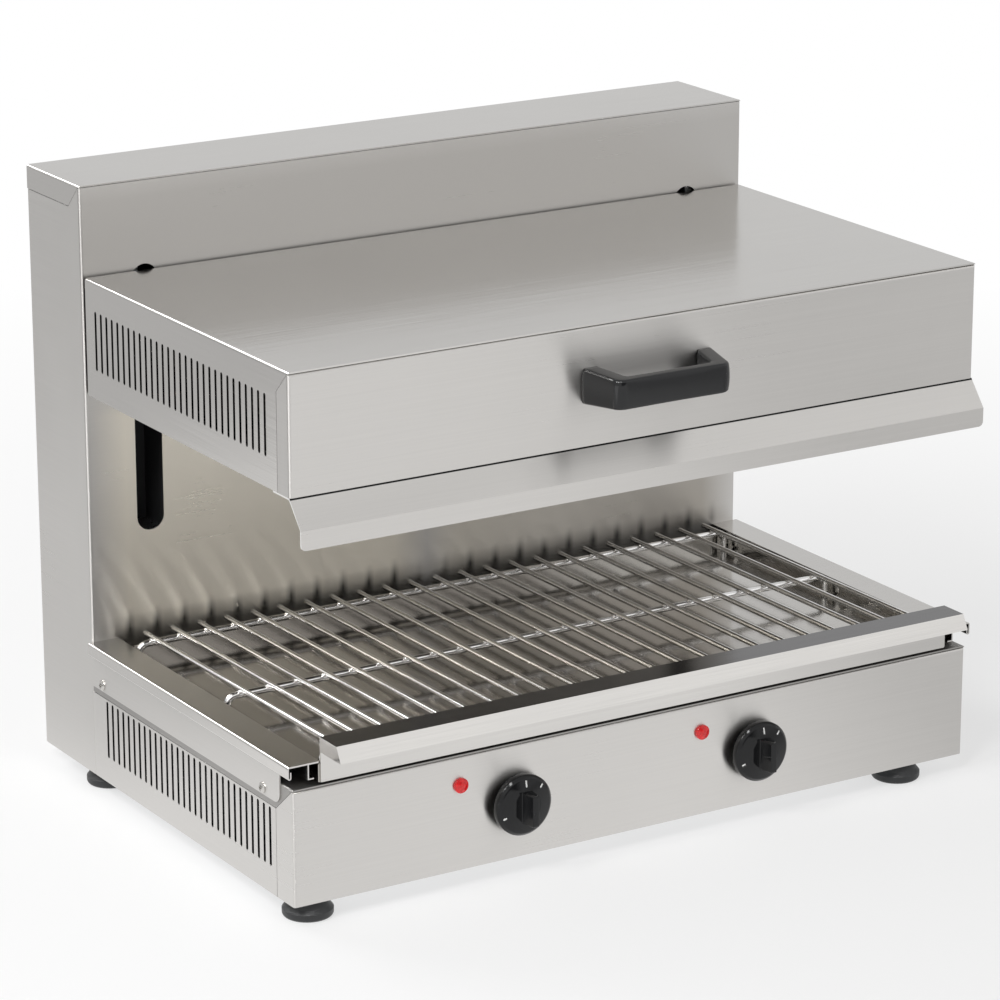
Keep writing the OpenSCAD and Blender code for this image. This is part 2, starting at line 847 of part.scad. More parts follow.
// Round skirt, coned up to a flat dial with a grip bar across it; +Z is the way it faces
module knob_form() {
  recess = 4;
  hub_r = 8;
  wall = 2.5;
  difference() {
    union() {
      rotate_extrude() polygon([[0, knob_back], [knob_r - 0.6, knob_back],
        [knob_r, knob_back + 0.6], [knob_r, rim_face - 1.6], [knob_r - 0.5, rim_face - 0.5],
        [knob_r - 1.6, rim_face], [dial_r, dial_face], [0, dial_face]]);
      rotate([90, 0, 0]) linear_extrude(2 * dial_r, center = true)
        polygon([[-grip_foot / 2, dial_face - 1], [-grip_top / 2, knob_reach - 0.4],
          [0.4 - grip_top / 2, knob_reach], [grip_top / 2 - 0.4, knob_reach],
          [grip_top / 2, knob_reach - 0.4], [grip_foot / 2, dial_face - 1]]);
    }
    translate([0, 0, -1]) difference() {
      cylinder(r = shaft_r + key_fit, h = shaft_end + 1.5);
      translate([-shaft_r, shaft_r / 2 + key_fit, key_from + 1.5])
        cube([2 * shaft_r, shaft_r, shaft_end]);
    }
    translate([0, 0, knob_back - 1]) difference() {
      cylinder(r = knob_r - wall, h = 1 + recess);
      cylinder(r = hub_r, h = 1 + recess);
    }
  }
}
module knob_left() {
  color("black") translate([knob_xs[0], y_front, knob_level]) rotate([90, 0, 0]) knob_form();
}
module knob_right() {
  color("black") translate([knob_xs[1], y_front, knob_level]) rotate([90, 0, 0]) knob_form();
}

module pilot_lenses() {
  color("red") for (x = knob_xs) translate([x - pilot_dx, y_front, knob_level + pilot_dz])
    rotate([90, 0, 0]) rotate_extrude()
      polygon([[0, -3.2], [pilot_shank_r, -3.2], [pilot_shank_r, 0], [pilot_r, 0],
        [pilot_r, 1.4], [pilot_r - 0.8, 2.6], [pilot_r * 0.6, 3.4], [0, 3.8]]);
}

module pilot_bodies() {
  seat = y_front + sheet;
  color("ivory") for (x = knob_xs) translate([x - pilot_dx, 0, knob_level + pilot_dz])
    difference() {
      bar_y(6.5, 0, seat, seat + 22, 0);
      bar_y(pilot_shank_r + slack, 0, seat - 1, seat + 2.1, 0);
    }
}

// Porcelain block with five terminals between the supply cable and the inner wiring
module terminal_block() {
  pitch = 14;
  width = 5 * pitch + 4;
  off = 56;
  color("ivory") translate([gland_x - off - width, y_back - off, z0 + sheet]) difference() {
    block([0, 0, 0], [width, 24, 20]);
    for (i = [0:5]) block([i * pitch + 0.5, -1, 12], [i * pitch + 3.5, 25, 21]);
    for (i = [0:4]) {
      translate([i * pitch + 9, -1, 7]) rotate([-90, 0, 0]) cylinder(r = 2.5, h = 26);
      for (y = [6, 18]) translate([i * pitch + 9, y, 9]) cylinder(r = 2, h = 12);
    }
  }
}

module cable_gland() {
  color("dimgray") translate([gland_x, y_back, gland_z]) rotate([-90, 0, 0]) difference() {
    union() {
      cylinder(r = 13, h = 5, $fn = 6);
      rotate_extrude() polygon([[0, 4], [10.5, 4], [10.5, gland_reach - 3],
        [8, gland_reach], [0, gland_reach]]);
      translate([0, 0, -sheet - 8]) cylinder(r = gland_thread_r, h = 9 + sheet);
    }
    translate([0, 0, -20]) cylinder(r = gland_r, h = 40);
  }
}

module gland_locknut() {
  color("dimgray") translate([gland_x, y_back - sheet, gland_z]) rotate([90, 0, 0])
    hex_nut(22, gland_thread_r + slack, 4);
}

// ---- hood ----

module hood_shell() {
  color("gainsboro") difference() {
    union() {
      top_shell(hood_w, y_front, y_hood, hood_top, hood_h, hood_return, hood_return);
      both_sides() block([hood_w / 2 - fold_w, y_front + hood_return + seam, hood_bot],
        [hood_w / 2 - sheet / 2, y_hood, hood_bot + sheet]);
    }
    vent_row(hood_w, (hood_bot + hood_top) / 2, hood_vent_rear);
  }
}

module hood_front_panel() {
  color("gainsboro") difference() {
    union() {
      front_pan(hood_w, y_front, hood_bot, hood_top, hood_return, hood_return);
      block([-hood_w / 2 + sheet, y_front + sheet / 2, hood_bot],
        [hood_w / 2 - sheet, y_front + hood_return, hood_bot + sheet]);
    }
    for (side = [-1, 1])
      bar_y(handle_screw_r + slack, side * handle_screw_x, y_front - 1, y_front + sheet + 1, handle_z);
  }
}

module hood_back_plate() {
  gap = 0.3;
  color("silver") difference() {
    block([-hood_w / 2 + sheet, y_hood - sheet, hood_bot + sheet],
      [hood_w / 2 - sheet, y_hood, hood_top - sheet]);
    for (side = [-1, 1]) {
      block([side * arm_x - arm_t / 2 - gap, y_hood - 4, arm_bot - gap],
        [side * arm_x + arm_t / 2 + gap, y_hood + 4, arm_top + gap]);
      for (z = arm_bolt_z)
        bar_y(bolt_r + slack, side * (arm_x - 20), y_hood - 4, y_hood + 1, z);
    }
  }
}

// Bent lip below the hood's front: a flange under the hood, a slope and an upright edge
module deflector() {
  flange = 24;
  corner = 4;
  low = -lip_slope - lip_edge;
  front = -lip_reach;
  color("gainsboro") difference() {
    translate([0, y_front, hood_bot]) along_x(-hood_w / 2, hood_w / 2)
      polygon([[flange, 0], [0.5, 0], [front, -lip_slope], [front, low], [front + sheet, low],
        [front + sheet, -lip_slope + 0.5], [1.1, -sheet], [flange, -sheet]]);
    for (side = [-1, 1]) translate([side * hood_w / 2, y_front - lip_reach - 1, hood_bot + low])
      rotate([-90, 0, 0]) linear_extrude(sheet + 2) difference() {
        square(2 * corner, center = true);
        translate([-side * corner, -corner]) circle(corner);
      }
  }
}

// Polished pan open downwards, with a rim on the hood's folds that closes the rear bay
module reflector() {
  rim_z = hood_bot + sheet;
  color("whitesmoke") difference() {
    union() {
      block([-hood_w / 2 + sheet + slack, y_front + sheet + slack, rim_z],
        [hood_w / 2 - sheet - slack, y_hood - sheet, rim_z + reflector_t]);
      block([-reflector_half, reflector_front, rim_z],
        [reflector_half, reflector_back, hood_bot + reflector_h]);
    }
    block([-reflector_half + reflector_t, reflector_front + reflector_t, rim_z - 1],
      [reflector_half - reflector_t, reflector_back - reflector_t,
        hood_bot + reflector_h - reflector_t]);
    for (end = [-1.5, 1.5])
      bar_x(element_r + 0.3, -hood_w, hood_w, element_mid + end * element_pitch, element_z);
  }
}

module insulation_mat() {
  color("beige") block([-reflector_half + 2, reflector_front + 2, hood_bot + reflector_h],
    [reflector_half - 2, reflector_back - 2, hood_bot + reflector_h + mat_t]);
}

// Right heating element: one sheathed tube in four passes, its two ends leaving at the side
module element() {
  bend = element_pitch / 2;
  for (pass_no = [-1.5:1:1.5])
    bar_x(element_r, element_in, abs(pass_no) > 1 ? hood_w / 2 - 7 : element_out,
      element_mid + pass_no * element_pitch, element_z);
  for (turn = [-1, 1])
    translate([element_in, element_mid + turn * element_pitch, element_z]) rotate(90)
      rotate_extrude(angle = 180) translate([bend, 0]) circle(element_r, $fn = 24);
  translate([element_out, element_mid, element_z]) rotate(-90)
    rotate_extrude(angle = 180) translate([bend, 0]) circle(element_r, $fn = 24);
}
module element_right() {
  color("dimgray") element();
}
module element_left() {
  color("dimgray") mirror([1, 0, 0]) element();
}

// Strips under the elements, each hung from the reflector by three studs
module element_clips() {
  half = 1.5 * element_pitch + 10;
  low = element_z - element_r - reflector_t;
  color("lightgray") both_sides() for (x = [element_in + clip_off, element_out - clip_off]) {
    block([x - clip_w / 2, element_mid - half, low],
      [x + clip_w / 2, element_mid + half, low + reflector_t]);
    for (stud = [-1:1]) bar_z(2, x, element_mid + stud * element_pitch, low + reflector_t / 2,
      hood_bot + reflector_h - reflector_t);
  }
}

// Bow handle: two feet that lean in towards a flat grip bar
module handle() {
  lean = 8;
  corner = 9;
  reach = handle_reach;
  half = handle_w / 2;
  color("black") translate([0, y_front, handle_z]) difference() {
    intersection() {
      linear_extrude(2 * handle_h, center = true) difference() {
        union() {
          polygon([[-half, 0], [-half + lean - 1, corner - reach], [half - lean + 1,
            corner - reach], [half, 0]]);
          translate([-half + lean + corner - 1, -reach])
            square([2 * (half - lean - corner + 1), corner]);
          for (side = [-1, 1])
            translate([side * (half - lean - corner + 1), corner - reach]) circle(corner);
        }
        polygon([[-half + handle_foot, 1], [-half + handle_foot + lean - 2, handle_grip - reach],
          [half - handle_foot - lean + 2, handle_grip - reach], [half - handle_foot, 1]]);
      }
      along_x(-handle_w, handle_w) polygon([[0, -handle_h / 2], [0, handle_h / 2],
        [-reach - 1, handle_taper * handle_h / 2], [-reach - 1, -handle_taper * handle_h / 2]]);
    }
    for (side = [-1, 1]) bar_y(handle_screw_r, side * handle_screw_x, -13, 1, 0);
  }
}

module handle_screws() {
  color("lightgray") for (side = [-1, 1]) translate([side * handle_screw_x, y_front, handle_z]) {
    bar_y(handle_screw_r - slack, 0, -12, sheet, 0);
    translate([0, sheet, 0]) rotate([-90, 0, 0]) cross_head(5, 3);
  }
}

// ---- tray and grid ----

// Shallow pan: floor on two pressed runners, and four walls
module drip_tray() {
  front = tray_face + sheet;
  color("silver") {
    difference() {
      block([-tray_half, front, tray_floor], [tray_half, tray_back, tray_rim]);
      block([-tray_half + thin, front + thin, tray_floor + thin],
        [tray_half - thin, tray_back - thin, tray_rim + 1]);
    }
    both_sides() block([tray_half - 40, y_front + 20, base_top + pass],
      [tray_half - 28, tray_back - 20, tray_floor + thin / 2]);
  }
}

// Folded front bar: face plate, flat top, sloped nose and closed ends
module tray_front() {
  low = tray_floor;
  top = base_top + bar_z;
  nose = bar_top + bar_slope;
  inner = sheet;
  color("gainsboro") translate([0, tray_face, 0]) difference() {
    along_x(-tray_half + 1.5, tray_half - 1.5)
      polygon([[sheet, low], [sheet, top], [-bar_top, top], [-nose, top - bar_drop],
        [0, top - bar_drop], [0, low]]);
    along_x(-tray_half + 1.5 + sheet, tray_half - 1.5 - sheet)
      polygon([[0, top - inner], [-bar_top + inner / 2, top - inner],
        [-nose + 1.5 * inner, top - bar_drop + inner], [0, top - bar_drop + inner]]);
  }
}

// Long wires of the grid, welded on top of the cross wires
module grid_wires() {
  color("lightgray") for (i = [0:wire_count - 1])
    bar_y(wire_r, (i - (wire_count - 1) / 2) * wire_pitch, wire_front, wire_rear,
      grid_top - wire_r);
}

// Three cross wires whose ends bend down as legs to the tray's floor
module grid_cross_wires() {
  leg_foot = tray_floor + thin + pass;
  color("lightgray") for (y = [cross_front, (cross_front + cross_rear) / 2, cross_rear]) {
    bar_x(cross_r, -cross_half + cross_bend, cross_half - cross_bend, y, cross_z);
    both_sides() {
      translate([cross_half - cross_bend, y, cross_z - cross_bend]) rotate([90, 0, 0])
        rotate_extrude(angle = 90) translate([cross_bend, 0]) circle(cross_r, $fn = 24);
      bar_z(cross_r, cross_half, y, leg_foot, cross_z - cross_bend);
    }
  }
}

bottom_plate();
base_front_panel();
base_side_left();
base_side_right();
base_deck();
rail_strip_left();
rail_strip_right();
tray_rail_left();
tray_rail_right();
column_shell();
column_cap();
back_panel();
casing_screws();
feet();
foot_screws();
foot_nuts();
guide_channels();
guide_rods();
weight_rods();
top_beam();
bottom_beam();
pulley_brackets();
pulley_axles();
cable_bends();
regulators();
regulator_nuts();
pilot_lenses();
pilot_bodies();
terminal_block();
cable_gland();
gland_locknut();
hood_shell();
hood_front_panel();
hood_back_plate();
deflector();
reflector();
insulation_mat();
element_left();
element_right();
element_clips();
lift_arms();
carriages();
carriage_bushes();
arm_bolts();
handle();
handle_screws();
lift_cables();
counterweight();
weight_cables();
pulley_left();
pulley_right();
knob_left();
knob_right();
shaft_left();
shaft_right();
drip_tray();
tray_front();
grid_wires();
grid_cross_wires();
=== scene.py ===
import json
from math import copysign, cos, pi, radians, sin, tan, tau

import bmesh
import bpy
from bpy.props import FloatProperty, FloatVectorProperty, IntProperty, PointerProperty
from mathutils import Matrix, Vector, noise


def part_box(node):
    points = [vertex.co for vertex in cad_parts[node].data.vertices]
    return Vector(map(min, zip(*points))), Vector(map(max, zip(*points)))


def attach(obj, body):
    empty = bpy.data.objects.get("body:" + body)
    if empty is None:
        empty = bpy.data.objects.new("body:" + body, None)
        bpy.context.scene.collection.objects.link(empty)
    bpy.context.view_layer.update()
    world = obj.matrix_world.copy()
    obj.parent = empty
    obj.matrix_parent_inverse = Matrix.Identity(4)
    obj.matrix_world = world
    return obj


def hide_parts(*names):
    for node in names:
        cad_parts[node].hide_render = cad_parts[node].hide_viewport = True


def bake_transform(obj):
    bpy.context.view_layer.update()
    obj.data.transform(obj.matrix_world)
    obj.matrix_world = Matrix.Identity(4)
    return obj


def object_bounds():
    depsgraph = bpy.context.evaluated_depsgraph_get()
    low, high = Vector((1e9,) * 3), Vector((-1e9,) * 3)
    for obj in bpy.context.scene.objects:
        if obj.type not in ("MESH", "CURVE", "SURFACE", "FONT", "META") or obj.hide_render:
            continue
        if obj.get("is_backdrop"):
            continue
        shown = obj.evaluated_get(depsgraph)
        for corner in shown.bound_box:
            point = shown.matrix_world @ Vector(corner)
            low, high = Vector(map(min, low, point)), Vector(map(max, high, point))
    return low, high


bl_info = {
    "name": "Cheese Melter",
    "version": (1, 0, 0),
    "blender": (4, 5, 0),
    "location": "View3D > Sidebar > Melter",
    "description": "Gives the cheese melter its finishes, its moulded and twisted parts and its stage",
    "category": "Object",
}

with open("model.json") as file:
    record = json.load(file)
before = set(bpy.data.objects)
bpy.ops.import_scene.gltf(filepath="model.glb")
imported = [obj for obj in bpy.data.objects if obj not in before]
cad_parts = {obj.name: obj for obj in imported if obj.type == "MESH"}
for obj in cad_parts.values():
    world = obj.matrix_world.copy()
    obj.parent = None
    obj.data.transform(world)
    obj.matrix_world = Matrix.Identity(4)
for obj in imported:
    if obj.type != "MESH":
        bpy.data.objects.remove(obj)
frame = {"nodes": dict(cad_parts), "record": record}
SOLIDS_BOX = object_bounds()
MM = 0.001
QUARTER_TURN = 0.25

# ---- settings


def length(name, description, default):
    """A size in metres that a user can change."""
    return FloatProperty(name=name, description=description, default=default, min=0.0, max=1.0,
                         unit="LENGTH", precision=4)


def share(name, description, default, high=1.0):
    """A plain share that a user can change."""
    return FloatProperty(name=name, description=description, default=default, min=0.0, max=high)


def colour(name, description, default):
    """A colour that a user can change."""
    return FloatVectorProperty(name=name, description=description, default=default, size=3,
                               min=0.0, max=1.0, subtype="COLOR")


class MelterFinishes(bpy.types.PropertyGroup):
    """Colours and surfaces of the cheese melter"""

    steel: colour("Steel", "Colour of the brushed casing steel", (0.6, 0.585, 0.565))
    steel_blur: share("Steel blur", "Roughness of the brushed casing steel", 0.17)
    grain: share("Grain", "Depth of the steel's brushed grain", 0.055)
    bright_steel: colour("Bright steel", "Colour of the tray and reflector steel", (0.56, 0.545, 0.52))
    chrome: colour("Chrome", "Colour of the plated grid wires", (0.84, 0.83, 0.82))
    zinc: colour("Zinc", "Colour of the plated screws and brackets", (0.66, 0.67, 0.68))
    paint: colour("Paint", "Colour of the black guide channels", (0.012, 0.012, 0.013))
    moulding: colour("Black moulding", "Colour of knobs and handle", (0.007, 0.0073, 0.0082))
    ink: colour("Mark ink", "Colour of the knobs' marks", (0.86, 0.86, 0.84))
    lens: colour("Lens", "Colour of the pilot lenses", (0.62, 0.012, 0.014))
    foot: colour("Foot", "Colour of the feet", (0.018, 0.019, 0.02))


class MelterHandle(bpy.types.PropertyGroup):
    """Sizes of the bow handle"""

    foot: length("Foot", "Width of a handle foot on the hood", 15 * MM)
    grip: length("Grip", "Thickness of the grip bar", 9.5 * MM)
    lean: length("Lean", "How far a leg leans inwards", 8 * MM)
    corner: length("Corner", "Outer radius between leg and grip", 9 * MM)
    edge: length("Edge", "Radius of the bar's long edges", 2.4 * MM)
    crown: length("Crown", "How far the bar's outer face falls back towards its edges", 1.1 * MM)
    taper: share("Taper", "Height of the grip as a share of the feet's height", 0.82)


class MelterKnobs(bpy.types.PropertyGroup):
    """Sizes of the knobs"""

    back: length("Back", "Gap between panel and knob", 4.5 * MM)
    rim: length("Rim", "Height of the knob's rim over the panel", 11.4 * MM)
    bevel: length("Bevel", "Width of the bevel round the rim", 2.3 * MM)
    dial: length("Dial", "Height of the dial's face over the panel", 13.6 * MM)
    dial_radius: length("Dial radius", "Radius of the dial's face", 12 * MM)
    bar_top: length("Bar top", "Width of the grip bar at its front", 5.2 * MM)
    bar_foot: length("Bar foot", "Width of the grip bar at its foot", 8.6 * MM)
    mark: length("Mark", "Width of a mark", 1.3 * MM)


class MelterGrid(bpy.types.PropertyGroup):
    """Sizes of the wire grid"""

    count: IntProperty(name="Wires", description="Number of long wires", default=23, min=5, max=41)
    wire: length("Wire", "Radius of a long wire", 2.1 * MM)
    cross: length("Cross wire", "Radius of a cross wire", 2.8 * MM)
    bend: length("Bend", "Radius of the bend from a cross wire to its leg", 7 * MM)
    nugget: length("Weld", "Half the width of a weld nugget", 2.7 * MM)
    rise: length("Rise", "How far the front stands higher than the middle", 1.3 * MM)


class MelterCables(bpy.types.PropertyGroup):
    """Make of the wire ropes"""

    strands: IntProperty(name="Strands", description="Number of strands round the core",
                         default=6, min=3, max=9)
    lay: length("Lay", "Length of one full twist", 19 * MM)


class MelterMat(bpy.types.PropertyGroup):
    """Make of the insulation mat"""

    fluff: length("Fluff", "Depth of the mat's uneven skin", 1.6 * MM)
    cell: length("Cell", "Distance between the points of the mat's skin", 6 * MM)


class MelterStage(bpy.types.PropertyGroup):
    """Camera, lamps and floor"""

    floor: colour("Floor", "Colour of the floor", (0.8, 0.8, 0.8))
    floor_white: share("Floor white", "How far the floor by the melter keeps to plain white", 0.6)
    back_tone: share("Back tone", "Brightness that metal mirrors from behind", 0.77, 3.0)
    front_tone: share("Front tone", "Brightness that metal mirrors from in front", 0.95, 3.0)
    band: share("Band", "Extra brightness that metal mirrors from a band at the front", 0.35, 3.0)
    floor_near: share("Floor near", "Brightness that metal mirrors from the floor by the melter", 1.08, 3.0)
    floor_far: share("Floor far", "Brightness that metal mirrors from the floor further back", 0.66, 3.0)
    floor_right: share("Floor right", "Share of that brightness left at the right", 0.7)
    floor_left: share("Floor left", "Share of that brightness left at the far left", 0.3)
    panel: share("Panel", "Extra brightness that metal mirrors from a panel high at the left", 16.0, 50.0)
    corner: share("Corner", "Extra brightness that metal mirrors from the floor at the front left", 0.7, 3.0)
    dark_front: share("Dark front", "Share of brightness left straight in front over the floor", 0.15)
    key: share("Key lamps", "Power of each of the two lamps at the front left, in watts", 26.0, 1000.0)
    fill: share("Fill lamp", "Power of the lamp behind, in watts", 32.0, 1000.0)
    sky: share("Sky", "Strength of the light from all round", 0.5, 5.0)
    lens_mm: FloatProperty(name="Lens", description="Focal length of the camera in millimetres",
                           default=152.77, min=20.0, max=400.0)


GROUPS = {"melter_finishes": MelterFinishes, "melter_handle": MelterHandle, "melter_knobs": MelterKnobs,
          "melter_grid": MelterGrid, "melter_cables": MelterCables, "melter_mat": MelterMat,
          "melter_stage": MelterStage}


# ---- finishes


class Wire:
    """An output socket of a finish. An expression on wires and numbers adds its Math nodes."""

    def __init__(self, finish, socket):
        self.finish, self.socket = finish, socket

    def calc(self, operation, *terms):
        return self.finish.node("ShaderNodeMath", {"operation": operation}, dict(enumerate(terms)))

    def __add__(self, other):
        return self.calc("ADD", self, other)

    def __radd__(self, other):
        return self.calc("ADD", other, self)

    def __sub__(self, other):
        return self.calc("SUBTRACT", self, other)

    def __rsub__(self, other):
        return self.calc("SUBTRACT", other, self)

    def __mul__(self, other):
        return self.calc("MULTIPLY", self, other)

    def __rmul__(self, other):
        return self.calc("MULTIPLY", other, self)

    def __truediv__(self, other):
        return self.calc("DIVIDE", self, other)

    def __pow__(self, other):
        return self.calc("POWER", self, other)

    def __abs__(self):
        return self.calc("ABSOLUTE", self)

    def clipped(self):
        """The wire kept between 0 and 1."""
        return self.calc("MINIMUM", self.calc("MAXIMUM", self, 0.0), 1.0)


class Nodes:
    """The node tree of a material or world. Every node but those of expressions comes from node()."""

    def __init__(self, holder):
        holder.use_nodes = True
        self.tree = holder.node_tree
        self.tree.nodes.clear()

    def node(self, kind, settings, sockets, out=0):
        """A node of that type, its settings first, then the values or links of its sockets."""
        made = self.tree.nodes.new(kind)
        for key, value in settings.items():
            if key == "stops":
                self.set_stops(made.color_ramp, value)
            else:
                setattr(made, key, value)
        for key, value in sockets.items():
            if isinstance(value, Wire):
                self.tree.links.new(value.socket, made.inputs[key])
            else:
                kept = made.inputs[key]
                if kept.type == "RGBA" and len(value) == 3:
                    value = (*value, 1.0)
                kept.default_value = value
        return Wire(self, made.outputs[out]) if made.outputs else None

    @staticmethod
    def set_stops(ramp, stops):
        """Places and grey tones of a ramp."""
        while len(ramp.elements) < len(stops):
            ramp.elements.new(1.0)
        for element, (place, tone) in zip(ramp.elements, stops):
            element.position = place
            element.color = (tone, tone, tone, 1.0)

    def seen_or_mirrored(self):
        """1 for rays of the camera, of mirror images and of what shows through, otherwise 0."""
        camera, through = (self.node("ShaderNodeLightPath", {}, {}, out=index) for index in (0, 6))
        return (camera + self.mirrored() + through).clipped()

    def mirrored(self):
        """1 for rays of mirror images, otherwise 0."""
        return self.node("ShaderNodeLightPath", {}, {}, out=3)

    def place(self):
        """Place on the piece in metres, in the frame that all parts share."""
        return self.node("ShaderNodeTexCoord", {}, {}, out=3)

    def parts_of(self, vector):
        split = self.node("ShaderNodeSeparateXYZ", {}, {0: vector})
        return [Wire(self, output) for output in split.socket.node.outputs]

    def vector(self, x, y, z):
        return self.node("ShaderNodeCombineXYZ", {}, {0: x, 1: y, 2: z})

    def noise(self, vector, detail, roughness=0.5):
        """Noise from 0 to 1 over a vector."""
        sockets = {"Vector": vector, "Scale": 1.0, "Detail": detail, "Roughness": roughness}
        return self.node("ShaderNodeTexNoise", {}, sockets)

    def grain(self, cells, detail=2.0, roughness=0.5):
        """Noise over the place, from its cells per metre: one number, or one for each axis."""
        sockets = {0: self.place(), 1: cells if isinstance(cells, tuple) else (cells,) * 3}
        spot = self.node("ShaderNodeVectorMath", {"operation": "MULTIPLY"}, sockets)
        return self.noise(spot, detail, roughness)

    def ramp(self, wire, stops):
        """Grey tones that a wire runs through, each stop a place and a tone."""
        return self.node("ShaderNodeValToRGB", {"stops": stops}, {0: wire})

    def blend(self, factor, first, second):
        """Mix of two colours, each a wire or three numbers."""
        return self.node("ShaderNodeMix", {"data_type": "RGBA"}, {0: factor, 6: first, 7: second}, out=2)


MATERIALS = {}


class Finish(Nodes):
    """A material in MATERIALS. Its surface shader gets even values as constants, the rest by feed()."""

    def __init__(self, name, **constants):
        MATERIALS[name] = bpy.data.materials.new(name)
        super().__init__(MATERIALS[name])
        self.surface = self.node("ShaderNodeBsdfPrincipled", {}, constants)
        self.node("ShaderNodeOutputMaterial", {}, {"Surface": self.surface})

    def feed(self, socket, wire):
        """Links a wire to one socket of the surface shader."""
        self.tree.links.new(wire.socket, self.surface.socket.node.inputs[socket])

    def shade(self, factor, tone, dark, light, socket="Base Color"):
        """Feeds a tone that a factor from 0 to 1 takes from darker to lighter."""
        self.feed(socket, self.blend(factor, tinted(tone, dark), tinted(tone, light)))

    def relief(self, height, depth):
        """Feeds the relief of a height from 0 to 1, depth being its size in metres."""
        sockets = {"Strength": 1.0, "Distance": depth, "Height": height}
        self.feed("Normal", self.node("ShaderNodeBump", {}, sockets))


def tinted(tone, factor):
    return tuple(min(1.0, channel * factor) for channel in tone)


def facing(part):
    """1 on the faces that look along an axis, from the normal's part along it."""
    return (part * 4 - 2).clipped()


def inside(value, low, high, soft=0.0001):
    """1 where a wire is between two values, with soft ends."""
    return ((value - low) / soft).clipped() * ((high - value) / soft).clipped()


def inside_box(parts, ranges, soft=0.0001):
    """1 where three wires are each between two values."""
    x, y, z = (inside(part, low, high, soft) for part, (low, high) in zip(parts, ranges))
    return x * y * z


def brushed_steel(name, tone, blur, grain, drift=0.0015, smear=0.0, places=None):
    """Brushed sheet with fine lines along it, a little wavy. Smear draws mirror images out across the lines.
    Places gives, from the place and the normal, pairs of a mask and the colour painted there, mostly painted
    shade, highlights and reflections.
    What is nearly black is no metal."""
    turn = QUARTER_TURN if smear else 0.0
    steel = Finish(name, **{"Metallic": 1.0, "Anisotropic": smear, "Anisotropic Rotation": turn})
    x, y, z = steel.parts_of(steel.place())
    normal = steel.node("ShaderNodeNewGeometry", {}, {}, out=1)
    nx, ny, nz = steel.parts_of(normal)
    sideways = facing(abs(nx))
    along = x * (1 - sideways) + y * sideways
    across = y * (1 - sideways)

    def brushed(long, narrow, detail):
        """Noise drawn out along the brush lines, from its cells per metre along and across them."""
        return steel.noise(steel.vector(along * long, across * narrow, z * narrow), detail)

    fine, lines = brushed(9.0, 2600.0, 1.0), brushed(7.0, 900.0, 2.0)
    waves = steel.grain(4.0, 0.0)
    smudge = steel.grain(9.0, 5.0, 0.6)
    tilt = (fine - 0.5) * (2.0 * grain) + (waves - 0.5) * (2.0 * drift)
    lean = steel.vector(0.0, tilt * (1 - sideways), tilt)
    bent = steel.node("ShaderNodeVectorMath", {"operation": "ADD"}, {0: normal, 1: lean})
    steel.feed("Normal", steel.node("ShaderNodeVectorMath", {"operation": "NORMALIZE"}, {0: bent}))
    steel.feed("Roughness", ((lines - 0.5) * 0.05 + (smudge - 0.5) * 0.06 + blur).clipped())
    shade = ((lines - 0.5) * 0.9 + (smudge - 0.5) * 0.9 + 0.5).clipped()
    skin = steel.blend(shade, tinted(tone, 0.95), tinted(tone, 1.04))
    for mask, other in places((x, y, z), (nx, ny, nz)) if places else ():
        skin = steel.blend(mask, skin, other)
        if max(other) < NO_METAL_BELOW:
            steel.feed("Metallic", 1 - mask)
    steel.feed("Base Color", skin)


# Colours painted on a sheet in places, mostly painted shade, highlights and reflections, and the tone below
# which it is no metal
NO_METAL_BELOW = 0.01
# Painted shade inside slots and vents
SLOT_PAINTED_SHADE = (0.002, 0.002, 0.002)
# Painted shade in a seam
SEAM_PAINTED_SHADE = (0.02, 0.02, 0.02)
# Painted highlight on a left edge
LEFT_EDGE_PAINTED_HIGHLIGHT = (1.0, 0.99, 0.97)
# Painted reflection of the dark below the hood
LEDGE_PAINTED_REFLECTION = (0.13, 0.128, 0.132)
# Straw tint of heat, lightened as painted light
STRAW_TINT_AND_PAINTED_LIGHT = (0.86, 0.81, 0.71)
# Brown tint of heat, darkened as painted shade
BROWN_TINT_AND_PAINTED_SHADE = (0.41, 0.385, 0.35)
# Painted reflections of the wires, and a darker foot
PAINTED_WIRE_REFLECTION_AND_DARK_FOOT = (0.08, 0.078, 0.075)
# Painted reflection on the tray's floor
TRAY_PAINTED_REFLECTION = (0.4, 0.38, 0.355)
# Painted shade above the hood
PAINTED_SHADE_ABOVE_HOOD = (0.52, 0.505, 0.485)


def slot_walls(node):
    """Masks the cut walls and the inner side of a vented wall, which lie in the dark, for painted shade: a
    near black that is no metal.
    """
    low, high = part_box(node)
    outer = max(abs(low.x), abs(high.x))
    vents = ((outer - 3 * MM, outer + 1 * MM), (low.y + 10 * MM, high.y - 2 * MM),
             (low.z + 10 * MM, high.z - 10 * MM))

    def places(place, normal):
        x, y, z = place
        cut = facing(abs(normal[1])) * inside_box((abs(x), y, z), vents)
        back = facing(abs(normal[0])) * inside(abs(x), 0.0, outer - 0.8 * MM)
        # Painted shade: the cut walls and the inner side are painted near black
        return [((cut + back).clipped(), SLOT_PAINTED_SHADE)]

    return places


def seam_above(node, width):
    """Masks painted shade on the upper edge of a sheet, which lies in the gap below another one, and a
    painted highlight on its left edge.
    """
    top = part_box(node)[1].z

    def places(place, normal):
        front = (2 - abs(normal[0]) * 4).clipped()
        seam = inside(place[2], top - width, top + 1 * MM, 0.3 * MM) * front
        # Painted shade in the seam, painted highlight on the left-facing edge
        return [(seam, SEAM_PAINTED_SHADE), (facing(0 - normal[0]), LEFT_EDGE_PAINTED_HIGHLIGHT)]

    return places


def ledge_painted_reflection(place, normal):
    """Masks a painted reflection on the flat top of the tray's front bar: it is painted dark for the dark
    below the hood that it mirrors.
    """
    # Painted reflection: the bar's top is painted dark
    return [((normal[2] * 20 - 18).clipped() * 0.95, LEDGE_PAINTED_REFLECTION)]


